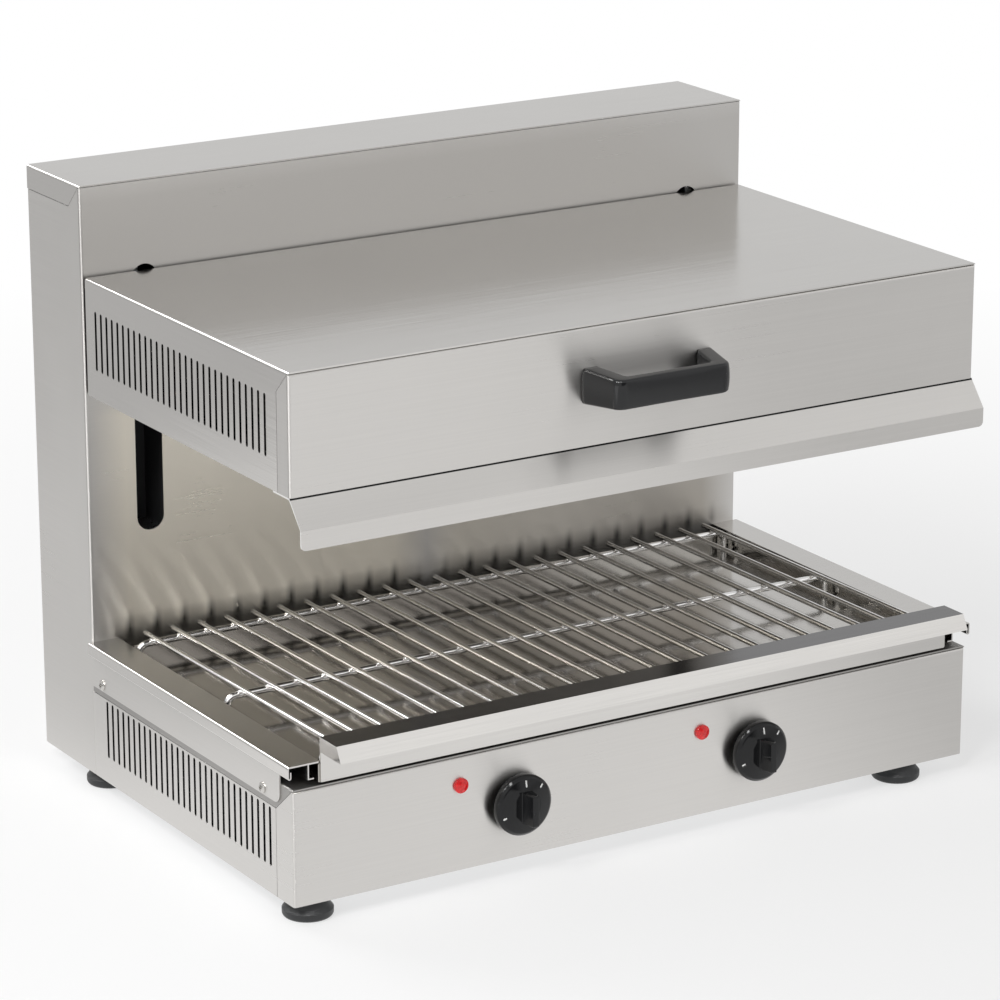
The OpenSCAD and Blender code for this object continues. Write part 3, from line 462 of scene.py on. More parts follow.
def column_tint_and_painted_light(place, normal):
    """Masks the straw tint of heat on the column behind the grid, lightened at its left as painted light and
    browned and darkened at its right as painted shade, a painted reflection drawn up behind each long wire,
    the darker foot, and painted shade on the sheet above the hood."""
    x, _, z = place
    hood, wires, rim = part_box("hood_shell"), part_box("grid_wires"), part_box("tray_rail_left")[1].z
    wire, gaps, beside_wire = 3.5 * MM, 22, 0.28
    first, pitch = wires[0].x + wire / 2, (wires[1].x - wires[0].x - wire) / gaps
    tray_floor, half_width, painted_shade_top = 0.11, 0.297, 0.49
    face = facing(0 - normal[1])
    zone = inside(z, tray_floor, hood[0].z, 0.02) * face * inside(abs(x), 0.0, half_width, 0.03)
    right = ((x + 0.05) / 0.3).clipped()
    step = (x - first) / pitch + beside_wire
    off = abs(step - step.calc("ROUND", step)) * 2
    sway = x.finish.grain((60.0, 60.0, 12.0), 1.0)
    # Painted reflection of each long wire, drawn up from the rim
    smear = (1 - off * 2.4).clipped() * ((rim + 0.021 - z + (sway - 0.5) * 0.012) / 0.014).clipped()
    foot = ((rim + 0.017 - z) / 0.018).clipped()
    # Straw tint with painted light at the left, brown tint with painted shade at the right
    return [(zone * (1 - right), STRAW_TINT_AND_PAINTED_LIGHT), (zone * right, BROWN_TINT_AND_PAINTED_SHADE),
            # Painted reflections of the long wires, and the column darker towards its foot
            (zone * (smear * 0.6 + foot * 0.6).clipped(), PAINTED_WIRE_REFLECTION_AND_DARK_FOOT),
            # Painted shade on the sheet above the hood
            (face * inside(z, hood[1].z - 0.05, painted_shade_top, 0.02), PAINTED_SHADE_ABOVE_HOOD)]


def tray_painted_reflection(place, normal):
    """Masks a painted reflection on the tray's floor below the elements: a darker brown, in blotches, over
    all but its right end.
    """
    x = place[0]
    blotches = x.finish.grain(14.0, 4.0)
    # Painted reflection of the elements and the hood, darker brown towards the left
    return [(((0.2 - x) / 0.1 + (blotches - 0.5) * 2).clipped() * 0.9, TRAY_PAINTED_REFLECTION)]


def plated_wire(name, tone):
    """Bright plating over drawn wire, with faint rings and darker spots of use."""
    plating = Finish(name, Metallic=1.0)
    rings = plating.grain((900.0, 60.0, 900.0))
    stain = plating.grain(38.0, 4.0, 0.6)
    plating.feed("Roughness", (rings - 0.5) * 0.06 + (stain - 0.5) * 0.12 + 0.14)
    plating.shade(plating.ramp(stain, [(0.35, 0.0), (0.75, 1.0)]), tone, 1.0, 0.82)
    plating.relief(rings, 0.00002)


def zinc_plate(name, tone):
    """Zinc plated or galvanised steel with a soft spangle."""
    zinc = Finish(name, Metallic=1.0)
    spangle = zinc.node("ShaderNodeTexVoronoi", {}, {"Vector": zinc.place(), "Scale": 420.0}, out=1)
    cell = zinc.node("ShaderNodeSeparateColor", {}, {0: spangle})
    cloud = zinc.grain(60.0, 3.0)
    shade = (cell * 0.5 + cloud * 0.5).clipped()
    zinc.shade(shade, tone, 0.9, 1.1)
    zinc.feed("Roughness", (shade - 0.5) * 0.14 + 0.3)
    zinc.relief(cloud, 0.00003)


def moulded(name, tone, blur, grit=0.00001, lift=0.35, gleam=0.5):
    """Moulded plastic: fine skin of the mould, a few dull patches."""
    plastic = Finish(name, **{"Specular IOR Level": gleam})
    skin = plastic.grain(2600.0)
    patch = plastic.grain(45.0, 4.0, 0.6)
    plastic.shade(patch, tone, 1.0 - lift, 1.0 + lift)
    plastic.feed("Roughness", (patch - 0.5) * 0.12 + (skin - 0.5) * 0.06 + blur)
    plastic.relief(skin, grit)


def clear_red(name, tone):
    """Tinted lens that glows a little."""
    lens = Finish(name, **{"IOR": 1.49, "Emission Strength": 1.0})
    ripple = lens.grain(520.0)
    lens.shade(ripple, tone, 0.6, 1.4)
    lens.shade(ripple, tone, 0.08, 0.34, "Emission Color")
    lens.feed("Roughness", (ripple - 0.5) * 0.1 + 0.12)
    lens.relief(ripple, 0.00015)


def fibre(name, tone):
    """Mineral wool: tangled fibres with darker pits."""
    wool = Finish(name, Roughness=0.95)
    strands = wool.grain((260.0, 900.0, 900.0), 6.0, 0.7)
    pits = wool.grain(140.0, 5.0, 0.65)
    shade = (strands * 0.6 + pits * 0.6 - 0.1).clipped()
    wool.shade(shade, tone, 0.55, 1.12)
    wool.relief(shade, 0.0012)


def heated_sheath(name, tone):
    """Nickel steel sheath with brown patches of heat and dark scale."""
    sheath = Finish(name, Metallic=1.0)
    tint = sheath.grain((14.0, 30.0, 30.0), 3.0)
    scale = sheath.grain(700.0, 3.0)
    warm = sheath.blend(sheath.ramp(tint, [(0.35, 0.0), (0.65, 1.0)]), tone, (0.27, 0.2, 0.15))
    sheath.feed("Base Color", sheath.blend(scale * 0.5, warm, (0.08, 0.075, 0.075)))
    sheath.feed("Roughness", (scale - 0.5) * 0.2 + 0.45)
    sheath.relief(scale, 0.00005)


def cast_metal(name, tone):
    """Cast iron with the sand's texture."""
    iron = Finish(name, Metallic=0.8)
    sand = iron.grain(900.0, 4.0, 0.6)
    cloud = iron.grain(50.0, 3.0)
    iron.shade(cloud, tone, 0.75, 1.25)
    iron.feed("Roughness", (sand - 0.5) * 0.2 + 0.62)
    iron.relief(sand, 0.0002)


def turned_metal(name, tone, blur):
    """Ground or turned metal with fine tool lines round its length."""
    metal = Finish(name, Metallic=1.0)
    lines = metal.grain((120.0, 120.0, 1800.0))
    oil = metal.grain(30.0, 4.0)
    metal.shade(oil, tone, 0.88, 1.08)
    metal.feed("Roughness", (lines - 0.5) * 0.1 + (oil - 0.5) * 0.1 + blur)
    metal.relief(lines, 0.00001)


UPRIGHT_SHEETS = ("base_front_panel", "base_side_left", "base_side_right", "column_shell", "back_panel",
                  "hood_front_panel", "hood_back_plate", "deflector", "rail_strip_left", "rail_strip_right")


def make_materials(finishes):
    """All finishes. Each has the name of a material slot, of a node or of a kind of sheet."""
    steel, bright, blur, grain = finishes.steel, finishes.bright_steel, finishes.steel_blur, finishes.grain

    def upright(name, places=None):
        brushed_steel(name, steel, blur + 0.12, 0.02, smear=0.92, places=places)

    brushed_steel("casing_steel", steel, blur, grain)
    brushed_steel("hood_shell", steel, blur, grain, places=slot_walls("hood_shell"))
    brushed_steel("tray_front", steel, blur, grain, places=ledge_painted_reflection)
    upright("column_shell", column_tint_and_painted_light)
    upright("deflector", seam_above("deflector", 1.4 * MM))
    for node in ("base_side_left", "base_side_right"):
        upright(node, slot_walls(node))
    brushed_steel("base_deck", tinted(steel, 0.6), 0.5, 0.02)
    upright("upright_steel")
    brushed_steel("drip_tray", bright, 0.12, 0.02, drift=0.004, places=tray_painted_reflection)
    brushed_steel("polished_steel", bright, 0.07, 0.015, drift=0.002)
    plated_wire("wire", finishes.chrome)
    zinc_plate("zinc_steel", finishes.zinc)
    moulded("black_paint", finishes.paint, 0.55, grit=0.00004)
    turned_metal("ground_steel", (0.62, 0.62, 0.61), 0.18)
    cast_metal("cast", (0.09, 0.09, 0.092))
    turned_metal("bronze", (0.56, 0.36, 0.17), 0.3)
    moulded("black_gloss", finishes.moulding, 0.1, grit=0.000002, gleam=0.4)
    moulded("knob_black", tinted(finishes.moulding, 0.8), 0.08, grit=0.000002, gleam=0.3)
    moulded("foot_plastic", finishes.foot, 0.5, grit=0.00003)
    clear_red("lens_red", finishes.lens)
    moulded("inner_plastic", (0.55, 0.53, 0.47), 0.42, lift=0.05)
    moulded("gland_plastic", (0.03, 0.03, 0.032), 0.45, grit=0.00003)
    fibre("mat", (0.3, 0.285, 0.235))
    heated_sheath("element_sheath", (0.24, 0.235, 0.23))
    turned_metal("rope", (0.5, 0.5, 0.49), 0.35)
    moulded("pulley_plastic", (0.6, 0.59, 0.55), 0.45, lift=0.05)
    moulded("ink", finishes.ink, 0.5, lift=0.03)


class MELTER_OT_finish_solids(bpy.types.Operator):
    """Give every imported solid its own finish, that of its kind of sheet or that of its material slot"""

    bl_idname = "melter.finish_solids"
    bl_label = "Finish the solids"
    bl_options = {"REGISTER", "UNDO"}

    def execute(self, context):
        make_materials(context.scene.melter_finishes)
        used = {part["node"]: part["material_slot"] for part in frame["record"]["subparts"]}
        missing = sorted(set(frame["nodes"]) - set(used))
        if missing:
            raise RuntimeError(f"no material slot names the nodes {missing}")
        for node, slot in used.items():
            own = node if node in MATERIALS else "upright_steel" if node in UPRIGHT_SHEETS else slot
            slots = frame["nodes"][node].data.materials
            slots.clear()
            slots.append(MATERIALS[own])
        return {"FINISHED"}


# ---- forms

# Points round a wire, a strand of rope, a weld and a knob
WIRE_SIDES, STRAND_SIDES, WELD_SIDES, KNOB_SIDES = 20, 7, 12, 96


class Skin:
    """Points and faces of a piece, gathered shell by shell."""

    def __init__(self):
        self.points, self.faces = [], []

    def loft(self, rings):
        """A closed tube over rings that have the same number of points."""
        start, count = len(self.points), len(rings[0])
        last = start + (len(rings) - 1) * count
        for ring in rings:
            self.points.extend(ring)
        for near in range(start, last, count):
            far = near + count
            for spot in range(count):
                after = (spot + 1) % count
                self.faces.append((near + spot, near + after, far + after, far + spot))
        self.faces.append(tuple(range(start + count - 1, start - 1, -1)))
        self.faces.append(tuple(range(last, last + count)))

    def piece(self, name, finish, smooth=True):
        """The gathered shells as one object."""
        mesh = bpy.data.meshes.new(name)
        mesh.from_pydata([tuple(point) for point in self.points], [], self.faces)
        mesh.validate()
        form = bmesh.new()
        form.from_mesh(mesh)
        bmesh.ops.recalc_face_normals(form, faces=form.faces)
        return linked(name, mesh, form, finish, smooth)


def linked(name, mesh, form, finish, smooth=True):
    """The object of a mesh that a bmesh fills, in the scene."""
    form.to_mesh(mesh)
    form.free()
    mesh.polygons.foreach_set("use_smooth", [smooth] * len(mesh.polygons))
    mesh.materials.append(MATERIALS[finish])
    made = bpy.data.objects.new(name, mesh)
    bpy.context.scene.collection.objects.link(made)
    return made


def place_piece(made, body, finish, *nodes):
    """Puts a piece on its body in place of the named solids."""
    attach(made, body)
    if nodes:
        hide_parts(*nodes)


def circle(middle, side, up, radius, count):
    """Points of a circle round a middle, in the plane of two directions."""
    turns = [tau * step / count for step in range(count)]
    return [middle + (side * cos(turn) + up * sin(turn)) * radius for turn in turns]


def filleted(points, radius, steps=8):
    """A line through points whose inner corners are arcs of the same number of steps."""
    line = [Vector(points[0])]
    for corner in zip(points, points[1:], points[2:]):
        before, at, after = (Vector(point) for point in corner)
        first, second = (before - at).normalized(), (after - at).normalized()
        half = first.angle(second) / 2
        reach = radius / tan(half)
        middle = at + (first + second).normalized() * (radius / sin(half))
        start, end = at + first * reach - middle, at + second * reach - middle
        for step in range(steps + 1):
            line.append(middle + start.slerp(end, step / steps).normalized() * radius)
    line.append(Vector(points[-1]))
    return line


def rounded_box_ring(half_x, half_y, radius, steps, rows):
    """Points of a rectangle with round corners, round its middle, and rows of points up its sides."""
    ring = []
    radius = min(radius, half_x * 0.98, half_y * 0.98)
    for corner, (sx, sy) in enumerate(((1, 1), (-1, 1), (-1, -1), (1, -1))):
        for step in range(steps + 1):
            angle = pi / 2 * (corner + step / steps)
            ring.append((sx * (half_x - radius) + radius * cos(angle),
                         sy * (half_y - radius) + radius * sin(angle)))
        if corner in (1, 3):
            for row in range(1, rows + 1):
                ring.append((sx * half_x, sy * (half_y - radius) * (1 - 2 * row / (rows + 1))))
    return ring


class MELTER_OT_handle(bpy.types.Operator):
    """Make the moulded bow handle of the hood"""

    bl_idname = "melter.handle"
    bl_label = "Make the handle"
    bl_options = {"REGISTER", "UNDO"}

    def execute(self, context):
        sizes = context.scene.melter_handle
        low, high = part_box("handle")
        half, reach, height = (high.x - low.x) / 2, high.y - low.y, high.z - low.z
        centre = Vector(((low.x + high.x) / 2, high.y, (low.z + high.z) / 2))
        outer = filleted([(-half, 0), (sizes.lean - half, -reach), (half - sizes.lean, -reach), (half, 0)],
                         sizes.corner, steps=12)
        inset = sizes.foot - half
        inner = filleted([(inset, 0), (inset + sizes.lean - 2 * MM, sizes.grip - reach),
                          (2 * MM - inset - sizes.lean, sizes.grip - reach), (-inset, 0)],
                         3.5 * MM, steps=12)
        rings = []
        for near, far in self.spread(inner, outer):
            middle, way = (near + far) / 2, far - near
            ring = []
            for u, v in rounded_box_ring(way.length / 2, height / 2, sizes.edge, steps=7, rows=5):
                fall = sizes.crown * (2 * v / height) ** 2 if u > 0 else 0.0
                spot = middle + way.normalized() * (u - fall)
                shrink = 1 - (1 - sizes.taper) * (-spot.y) / reach
                ring.append(centre + Vector((spot.x, spot.y, v * shrink)))
            rings.append(ring)
        skin = Skin()
        skin.loft(rings)
        place_piece(skin.piece("handle_moulding", "black_gloss"), "hood", "black_gloss", "handle")
        return {"FINISHED"}

    def spread(self, inner, outer):
        """Pairs of points across the bar, with a few more on the legs and on the grip."""
        pairs = list(zip(inner, outer))
        full = []
        for first, second in zip(pairs, pairs[1:]):
            steps = max(1, round((second[1] - first[1]).length / (3 * MM)))
            full.extend([first[0].lerp(second[0], step / steps), first[1].lerp(second[1], step / steps)]
                        for step in range(steps))
        return full + [pairs[-1]]


# Marks of a knob: how far right and up, length, all in mm, and the turn in degrees
KNOB_MARKS = ((0.0, 17.6, 5.0, 90.0), (13.3, 13.6, 3.4, 45.2), (-18.0, -6.6, 2.9, 201.7))


class MELTER_OT_knobs(bpy.types.Operator):
    """Make the two moulded knobs and their marks"""

    bl_idname = "melter.knobs"
    bl_label = "Make the knobs"
    bl_options = {"REGISTER", "UNDO"}

    def execute(self, context):
        for side in ("left", "right"):
            node = "knob_" + side
            low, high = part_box(node)
            axis = (low + high) / 2
            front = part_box("base_front_panel")[0].y
            self.knob(context.scene.melter_knobs, node, Vector((axis.x, front, axis.z)),
                      (high.x - low.x) / 2, front - low.y)
        return {"FINISHED"}

    def knob(self, sizes, node, axis, radius, reach):
        """One knob: a cone with a bevelled rim round the dial, turned about its axis."""

        def spot(right, up, out):
            return axis + Vector((right, -out, up))

        back, rim, dial, disc = sizes.back, sizes.rim, sizes.dial, sizes.dial_radius
        bevel, soft = sizes.bevel, 0.3 * MM
        line = [(3.2, back / MM), (8, back / MM), (8, 8.5), (21.1, 8.5), (21.1, 4.6), (21.4, 4.5)]
        profile = [(r * MM, w * MM) for r, w in line]
        profile += [(radius - 0.5 * MM, back), (radius - 0.12 * MM, back + 0.15 * MM),
                    (radius, back + 0.6 * MM), (radius, rim - bevel - soft),
                    (radius - 0.3 * soft, rim - bevel + 0.2 * soft), (radius - soft, rim - bevel + soft),
                    (radius - bevel + soft, rim - soft), (radius - bevel - 0.2 * soft, rim - 0.1 * soft)]
        slope = (dial - rim) / (radius - bevel - disc)
        for share_of in (0.08, 0.5, 0.95):
            r = radius - bevel - share_of * (radius - bevel - disc)
            profile.append((r, dial - slope * (r - disc)))
        profile += [(disc - 0.05 * MM, dial - 0.02 * MM), (disc - 0.5 * MM, dial), (0.4 * MM, dial)]
        skin = Skin()
        turns = [tau * step / KNOB_SIDES for step in range(KNOB_SIDES)]
        skin.loft([[spot(r * cos(turn), r * sin(turn), w) for turn in turns] for r, w in profile])
        self.bar(skin, spot, sizes, disc, dial, reach)
        place_piece(skin.piece(node + "_moulding", "knob_black"), node, "knob_black", node)
        marks = Skin()
        for right, up, size, turn in KNOB_MARKS:
            self.mark(marks, spot, sizes, (right * MM, up * MM), size * MM, turn, disc, dial, slope)
        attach(marks.piece(node + "_marks", "ink"), node)

    def bar(self, skin, spot, sizes, disc, dial, reach):
        """Grip bar: its sides lean in, its edges are a little round, its foot has a fillet."""
        top, foot, edge = sizes.bar_top / 2, sizes.bar_foot / 2, 0.45 * MM
        side = [(foot + 0.7 * MM, dial - 0.3 * MM), (foot + 0.35 * MM, dial + 0.12 * MM),
                (foot, dial + 0.7 * MM), (top, reach - edge * 1.6)]
        for step in range(1, 5):
            angle = radians(90 * step / 4)
            side.append((top - edge * (1 - cos(angle)), reach - edge + edge * sin(angle)))
        section = side + [(-u, w) for u, w in reversed(side)]
        rings = []
        for up, shrink in ((-1, 1.0), (-0.93, 0.35), (-0.8, 0.0), (0.8, 0.0), (0.93, 0.35), (1, 1.0)):
            inset = shrink * 0.4 * MM
            height = up * disc if abs(up) == 1 else copysign(disc - (1 - abs(up)) * 6 * MM, up)
            rings.append([spot(u * (1 - inset / foot), height, min(w, reach - inset)) for u, w in section])
        skin.loft(rings)

    def mark(self, skin, spot, sizes, centre, size, turn, disc, dial, slope):
        """An inked bar on the cone, pointing along its turn."""
        along = Vector((cos(radians(turn)), sin(radians(turn))))
        across = Vector((-along.y, along.x))
        rings = []
        for share_of, wide in ((-1, 0.7), (-0.9, 1.0), (0, 1.0), (0.9, 1.0), (1, 0.7)):
            ring = []
            for lift, far in ((-0.2, -1), (0.06, -1), (0.08, 0), (0.06, 1), (-0.2, 1)):
                flat = Vector(centre) + along * share_of * size / 2 + across * far * wide * sizes.mark / 2
                out = dial - slope * (flat.length - disc) + lift * MM
                ring.append(spot(flat.x, flat.y, out))
            rings.append(ring)
        skin.loft(rings)


class MELTER_OT_lenses(bpy.types.Operator):
    """Make the cut red lenses of the pilot lamps"""

    bl_idname = "melter.lenses"
    bl_label = "Make the pilot lenses"
    bl_options = {"REGISTER", "UNDO"}

    def execute(self, context):
        low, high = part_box("pilot_lenses")
        radius, front = (high.z - low.z) / 2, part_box("base_front_panel")[0].y
        skin = Skin()
        for x in (low.x + radius, high.x - radius):
            self.lens(skin, Vector((x, front, (low.z + high.z) / 2)), radius, front - low.y, high.y - front)
        place_piece(skin.piece("pilot_lens_mouldings", "lens_red", smooth=False), "casing", "lens_red",
                    "pilot_lenses")
        return {"FINISHED"}

    def lens(self, skin, axis, radius, reach, depth):
        """A shank in the panel and a head with two rows of facets, one skewed by half a facet."""
        facets, spots = 12, 4
        shank = radius - 1.3 * MM
        profile = [(0.3 * MM, -depth, 0), (shank, -depth, 0), (shank, 0, 0), (radius, 0, 0),
                   (radius, reach * 0.48, 0), (radius - 0.35 * MM, reach * 0.6, 0),
                   (radius * 0.82, reach * 0.68, 0), (radius * 0.76, reach * 0.68, 0.5),
                   (radius * 0.42, reach * 0.9, 0.5), (radius * 0.1, reach, 0.5)]
        rings = []
        for r, out, skew in profile:
            turns = [tau * (step / spots + skew) / facets for step in range(facets * spots)]
            rings.append([axis + Vector((r * cos(turn), -out, r * sin(turn))) for turn in turns])
        skin.loft(rings)


class MELTER_OT_grid(bpy.types.Operator):
    """Make the welded wire grid"""

    bl_idname = "melter.grid"
    bl_label = "Make the grid"
    bl_options = {"REGISTER", "UNDO"}

    def execute(self, context):
        sizes = context.scene.melter_grid
        low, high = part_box("grid_wires")
        cross_low, cross_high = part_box("grid_cross_wires")
        drawn, drawn_cross, overhang = (high.z - low.z) / 2, 2.5 * MM, 2 * MM
        level, half = (low.z + high.z) / 2, high.x - drawn
        foot, cross_level = cross_low.z, low.z - drawn_cross
        front, back = cross_low.y + drawn_cross - overhang, cross_high.y - drawn_cross
        middle = (front + back) / 2
        slope = -sizes.rise / ((back - front) / 2)

        def lifted(x, y, z):
            return Vector((x, y, z + slope * (y - middle)))

        long_wires, cross_wires, welds = Skin(), Skin(), Skin()
        columns = [half * (2 * index / (sizes.count - 1) - 1) for index in range(sizes.count)]
        for x in columns:
            self.rod(long_wires, [lifted(x, low.y, level), lifted(x, high.y, level)], sizes.wire)
        reach = cross_high.x - sizes.cross + overhang
        corners = [(-reach, foot), (-reach, cross_level), (reach, cross_level), (reach, foot)]
        bent = filleted(corners, sizes.bend)
        for y in (front, middle, back):
            line = [lifted(spot.x, y, spot.y) if spot.y > foot + 1 * MM else Vector((spot.x, y, spot.y))
                    for spot in bent]
            self.rod(cross_wires, line, sizes.cross)
            for x in columns:
                self.weld(welds, lifted(x, y, (level + cross_level) / 2), sizes.nugget)
        place_piece(long_wires.piece("grid_long_wires", "wire"), "grid", "wire", "grid_wires")
        place_piece(cross_wires.piece("grid_bent_wires", "wire"), "grid", "wire", "grid_cross_wires")
        place_piece(welds.piece("grid_welds", "wire"), "grid", "wire")
        return {"FINISHED"}

    def rod(self, skin, path, radius):
        """A round wire along a path, its ends a little domed."""
        rings, last = [], len(path) - 1
        for index, spot in enumerate(path):
            way = (path[min(index + 1, last)] - path[max(index - 1, 0)]).normalized()
            side = Vector((0, 1, 0)) if abs(way.y) < 0.5 else way.cross(Vector((0, 0, 1))).normalized()
            stops, inwards = [(1.0, 0.0)], 1 if index == 0 else -1
            if index in (0, last):
                stops = [(0.35, 0.0), (0.75, 0.2), (0.95, 0.55), (1.0, 1.0)][::inwards]
            for wide, along in stops:
                inset = along * radius * inwards * 0.8
                rings.append(circle(spot + way * inset, side, way.cross(side), radius * wide, WIRE_SIDES))
        skin.loft(rings)

    def weld(self, skin, spot, half):
        """A flattened nugget of melted metal round a crossing."""
        rings, flatness, dent = [], 0.62, 0.92
        turns = [(tau * step / WELD_SIDES, 1.0 if step % 2 else dent) for step in range(WELD_SIDES)]
        for tilt in (-70, -40, -10, 20, 50, 75):
            wide, high = half * cos(radians(tilt)), half * flatness * sin(radians(tilt))
            rings.append([spot + Vector((cos(turn) * wide * reach, sin(turn) * wide, high))
                          for turn, reach in turns])
        skin.loft(rings)


class MELTER_OT_cables(bpy.types.Operator):
    """Make the twisted wire ropes of the lift"""

    bl_idname = "melter.cables"
    bl_label = "Make the lift's wire ropes"
    bl_options = {"REGISTER", "UNDO"}

    def execute(self, context):
        sizes = context.scene.melter_cables
        hood_low, hood_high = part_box("lift_cables")
        load_low, load_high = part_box("weight_cables")
        radius = (hood_high.y - hood_low.y) / 2
        front, back = (hood_low.y + hood_high.y) / 2, (load_low.y + load_high.y) / 2
        top, middle, wheel = hood_high.z, (front + back) / 2, (back - front) / 2
        bends = 40
        turns = [pi * step / bends for step in range(bends + 1)]
        for side, x in (("left", hood_low.x + radius), ("right", hood_high.x - radius)):
            lift = [Vector((x, front, z)) for z in self.steps(hood_low.z, top)]
            load = [Vector((x, back, z)) for z in self.steps(load_low.z, top)]
            over = [Vector((x, middle - wheel * cos(turn), top + wheel * sin(turn))) for turn in turns]
            self.rope("lift_rope_" + side, lift, radius, sizes, "hood")
            self.rope("weight_rope_" + side, load, radius, sizes, "weight")
            place_piece(self.rope("pulley_rope_" + side, over, radius, sizes), "casing", "rope")
        for kind, node in (("lift", "lift_cables"), ("weight", "weight_cables"), ("pulley", "cable_bends")):
            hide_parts(node)
        return {"FINISHED"}

    def steps(self, low, high):
        """Heights of the rings along a straight rope."""
        apart = 1.6 * MM
        count = max(12, round((high - low) / apart))
        return [low + (high - low) * step / count for step in range(count + 1)]

    def rope(self, name, path, radius, sizes, carrier=None):
        """Strands laid round a core. With a carrier, which the rope runs from up to the casing, its placing
        is baked into its points.
        """
        skin, thin, side = Skin(), radius / 3, Vector((1, 0, 0))
        for strand in range(sizes.strands + 1):
            rings, run = [], 0.0
            off = 0.0 if strand == sizes.strands else 2 * thin
            for index, spot in enumerate(path):
                near, far = path[max(index - 1, 0)], path[min(index + 1, len(path) - 1)]
                run += (spot - near).length
                up = (far - near).normalized().cross(side)
                turn = tau * (strand / sizes.strands + run / sizes.lay)
                middle = spot + (side * cos(turn) + up * sin(turn)) * off
                rings.append(circle(middle, side, up, thin, STRAND_SIDES))
            skin.loft(rings)
        made = skin.piece(name, "rope")
        if carrier:
            tuple(path[0])
            tuple(path[-1])
            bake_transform(made)
        return made


class MELTER_OT_mat(bpy.types.Operator):
    """Make the fibrous insulation mat in the hood"""

    bl_idname = "melter.mat"
    bl_label = "Make the insulation mat"
    bl_options = {"REGISTER", "UNDO"}

    def execute(self, context):
        sizes = context.scene.melter_mat
        low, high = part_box("insulation_mat")
        centre, half = (low + high) / 2, (high - low) / 2
        form = bmesh.new()
        bmesh.ops.create_cube(form, size=2.0)
        cuts = [max(2, round(2 * half[axis] / sizes.cell)) for axis in range(3)]
        for axis, count in enumerate(cuts):
            for step in range(1, count):
                spot, normal = Vector(), Vector()
                spot[axis], normal[axis] = -1 + 2 * step / count, 1.0
                bmesh.ops.bisect_plane(form, geom=form.verts[:] + form.edges[:] + form.faces[:],
                                       plane_co=spot, plane_no=normal)
        round_off = 5 * MM
        reach = [side - round_off for side in half]
        for vert in form.verts:
            spot = Vector(vert.co[axis] * half[axis] for axis in range(3))
            core = Vector(max(-far, min(far, along)) for far, along in zip(reach, spot))
            way = spot - core
            way = way.normalized() if way.length > 1e-9 else Vector((0, 0, 1))
            soft = noise.fractal(spot * 90, 1.0, 2.0, 4)
            sink = sizes.fluff * (0.55 - 0.45 * max(-1.0, min(1.0, soft * 1.6)))
            vert.co = centre + core + way * (round_off - sink)
        made = linked("mat_wool", bpy.data.meshes.new("mat_wool"), form, "mat")
        place_piece(made, "hood", "mat", "insulation_mat")
        return {"FINISHED"}


# ---- stage


def area_lamp(name, place, aim, size, power):
    """A soft rectangular lamp that looks at a point."""
    lamp = bpy.data.lights.new(name, "AREA")
    lamp.shape = "RECTANGLE"
    lamp.size, lamp.size_y = size
    lamp.energy = power
    holder = bpy.data.objects.new(name, lamp)
    holder.location = place
    holder.rotation_euler = (Vector(aim) - Vector(place)).to_track_quat("-Z", "Y").to_euler()
    bpy.context.scene.collection.objects.link(holder)


# Where the camera stands, from the middle of the base's front, and its turn, drop and roll in degrees
CAMERA_PLACE = (-1.65549, -2.47855, 1.19301)
CAMERA_ANGLES = (31.67, 17.15, -0.05)
# Small bright panels that metal mirrors, each the ranges of a direction's three parts
PANELS = (((-0.56, -0.3), (0.47, 0.65), (0.56, 0.76)), ((-0.31, -0.17), (-0.64, -0.34), (0.68, 0.9)),
          ((-0.7, -0.54), (-0.4, -0.22), (0.58, 0.74)))
WHITE = (1.0, 1.0, 1.0)


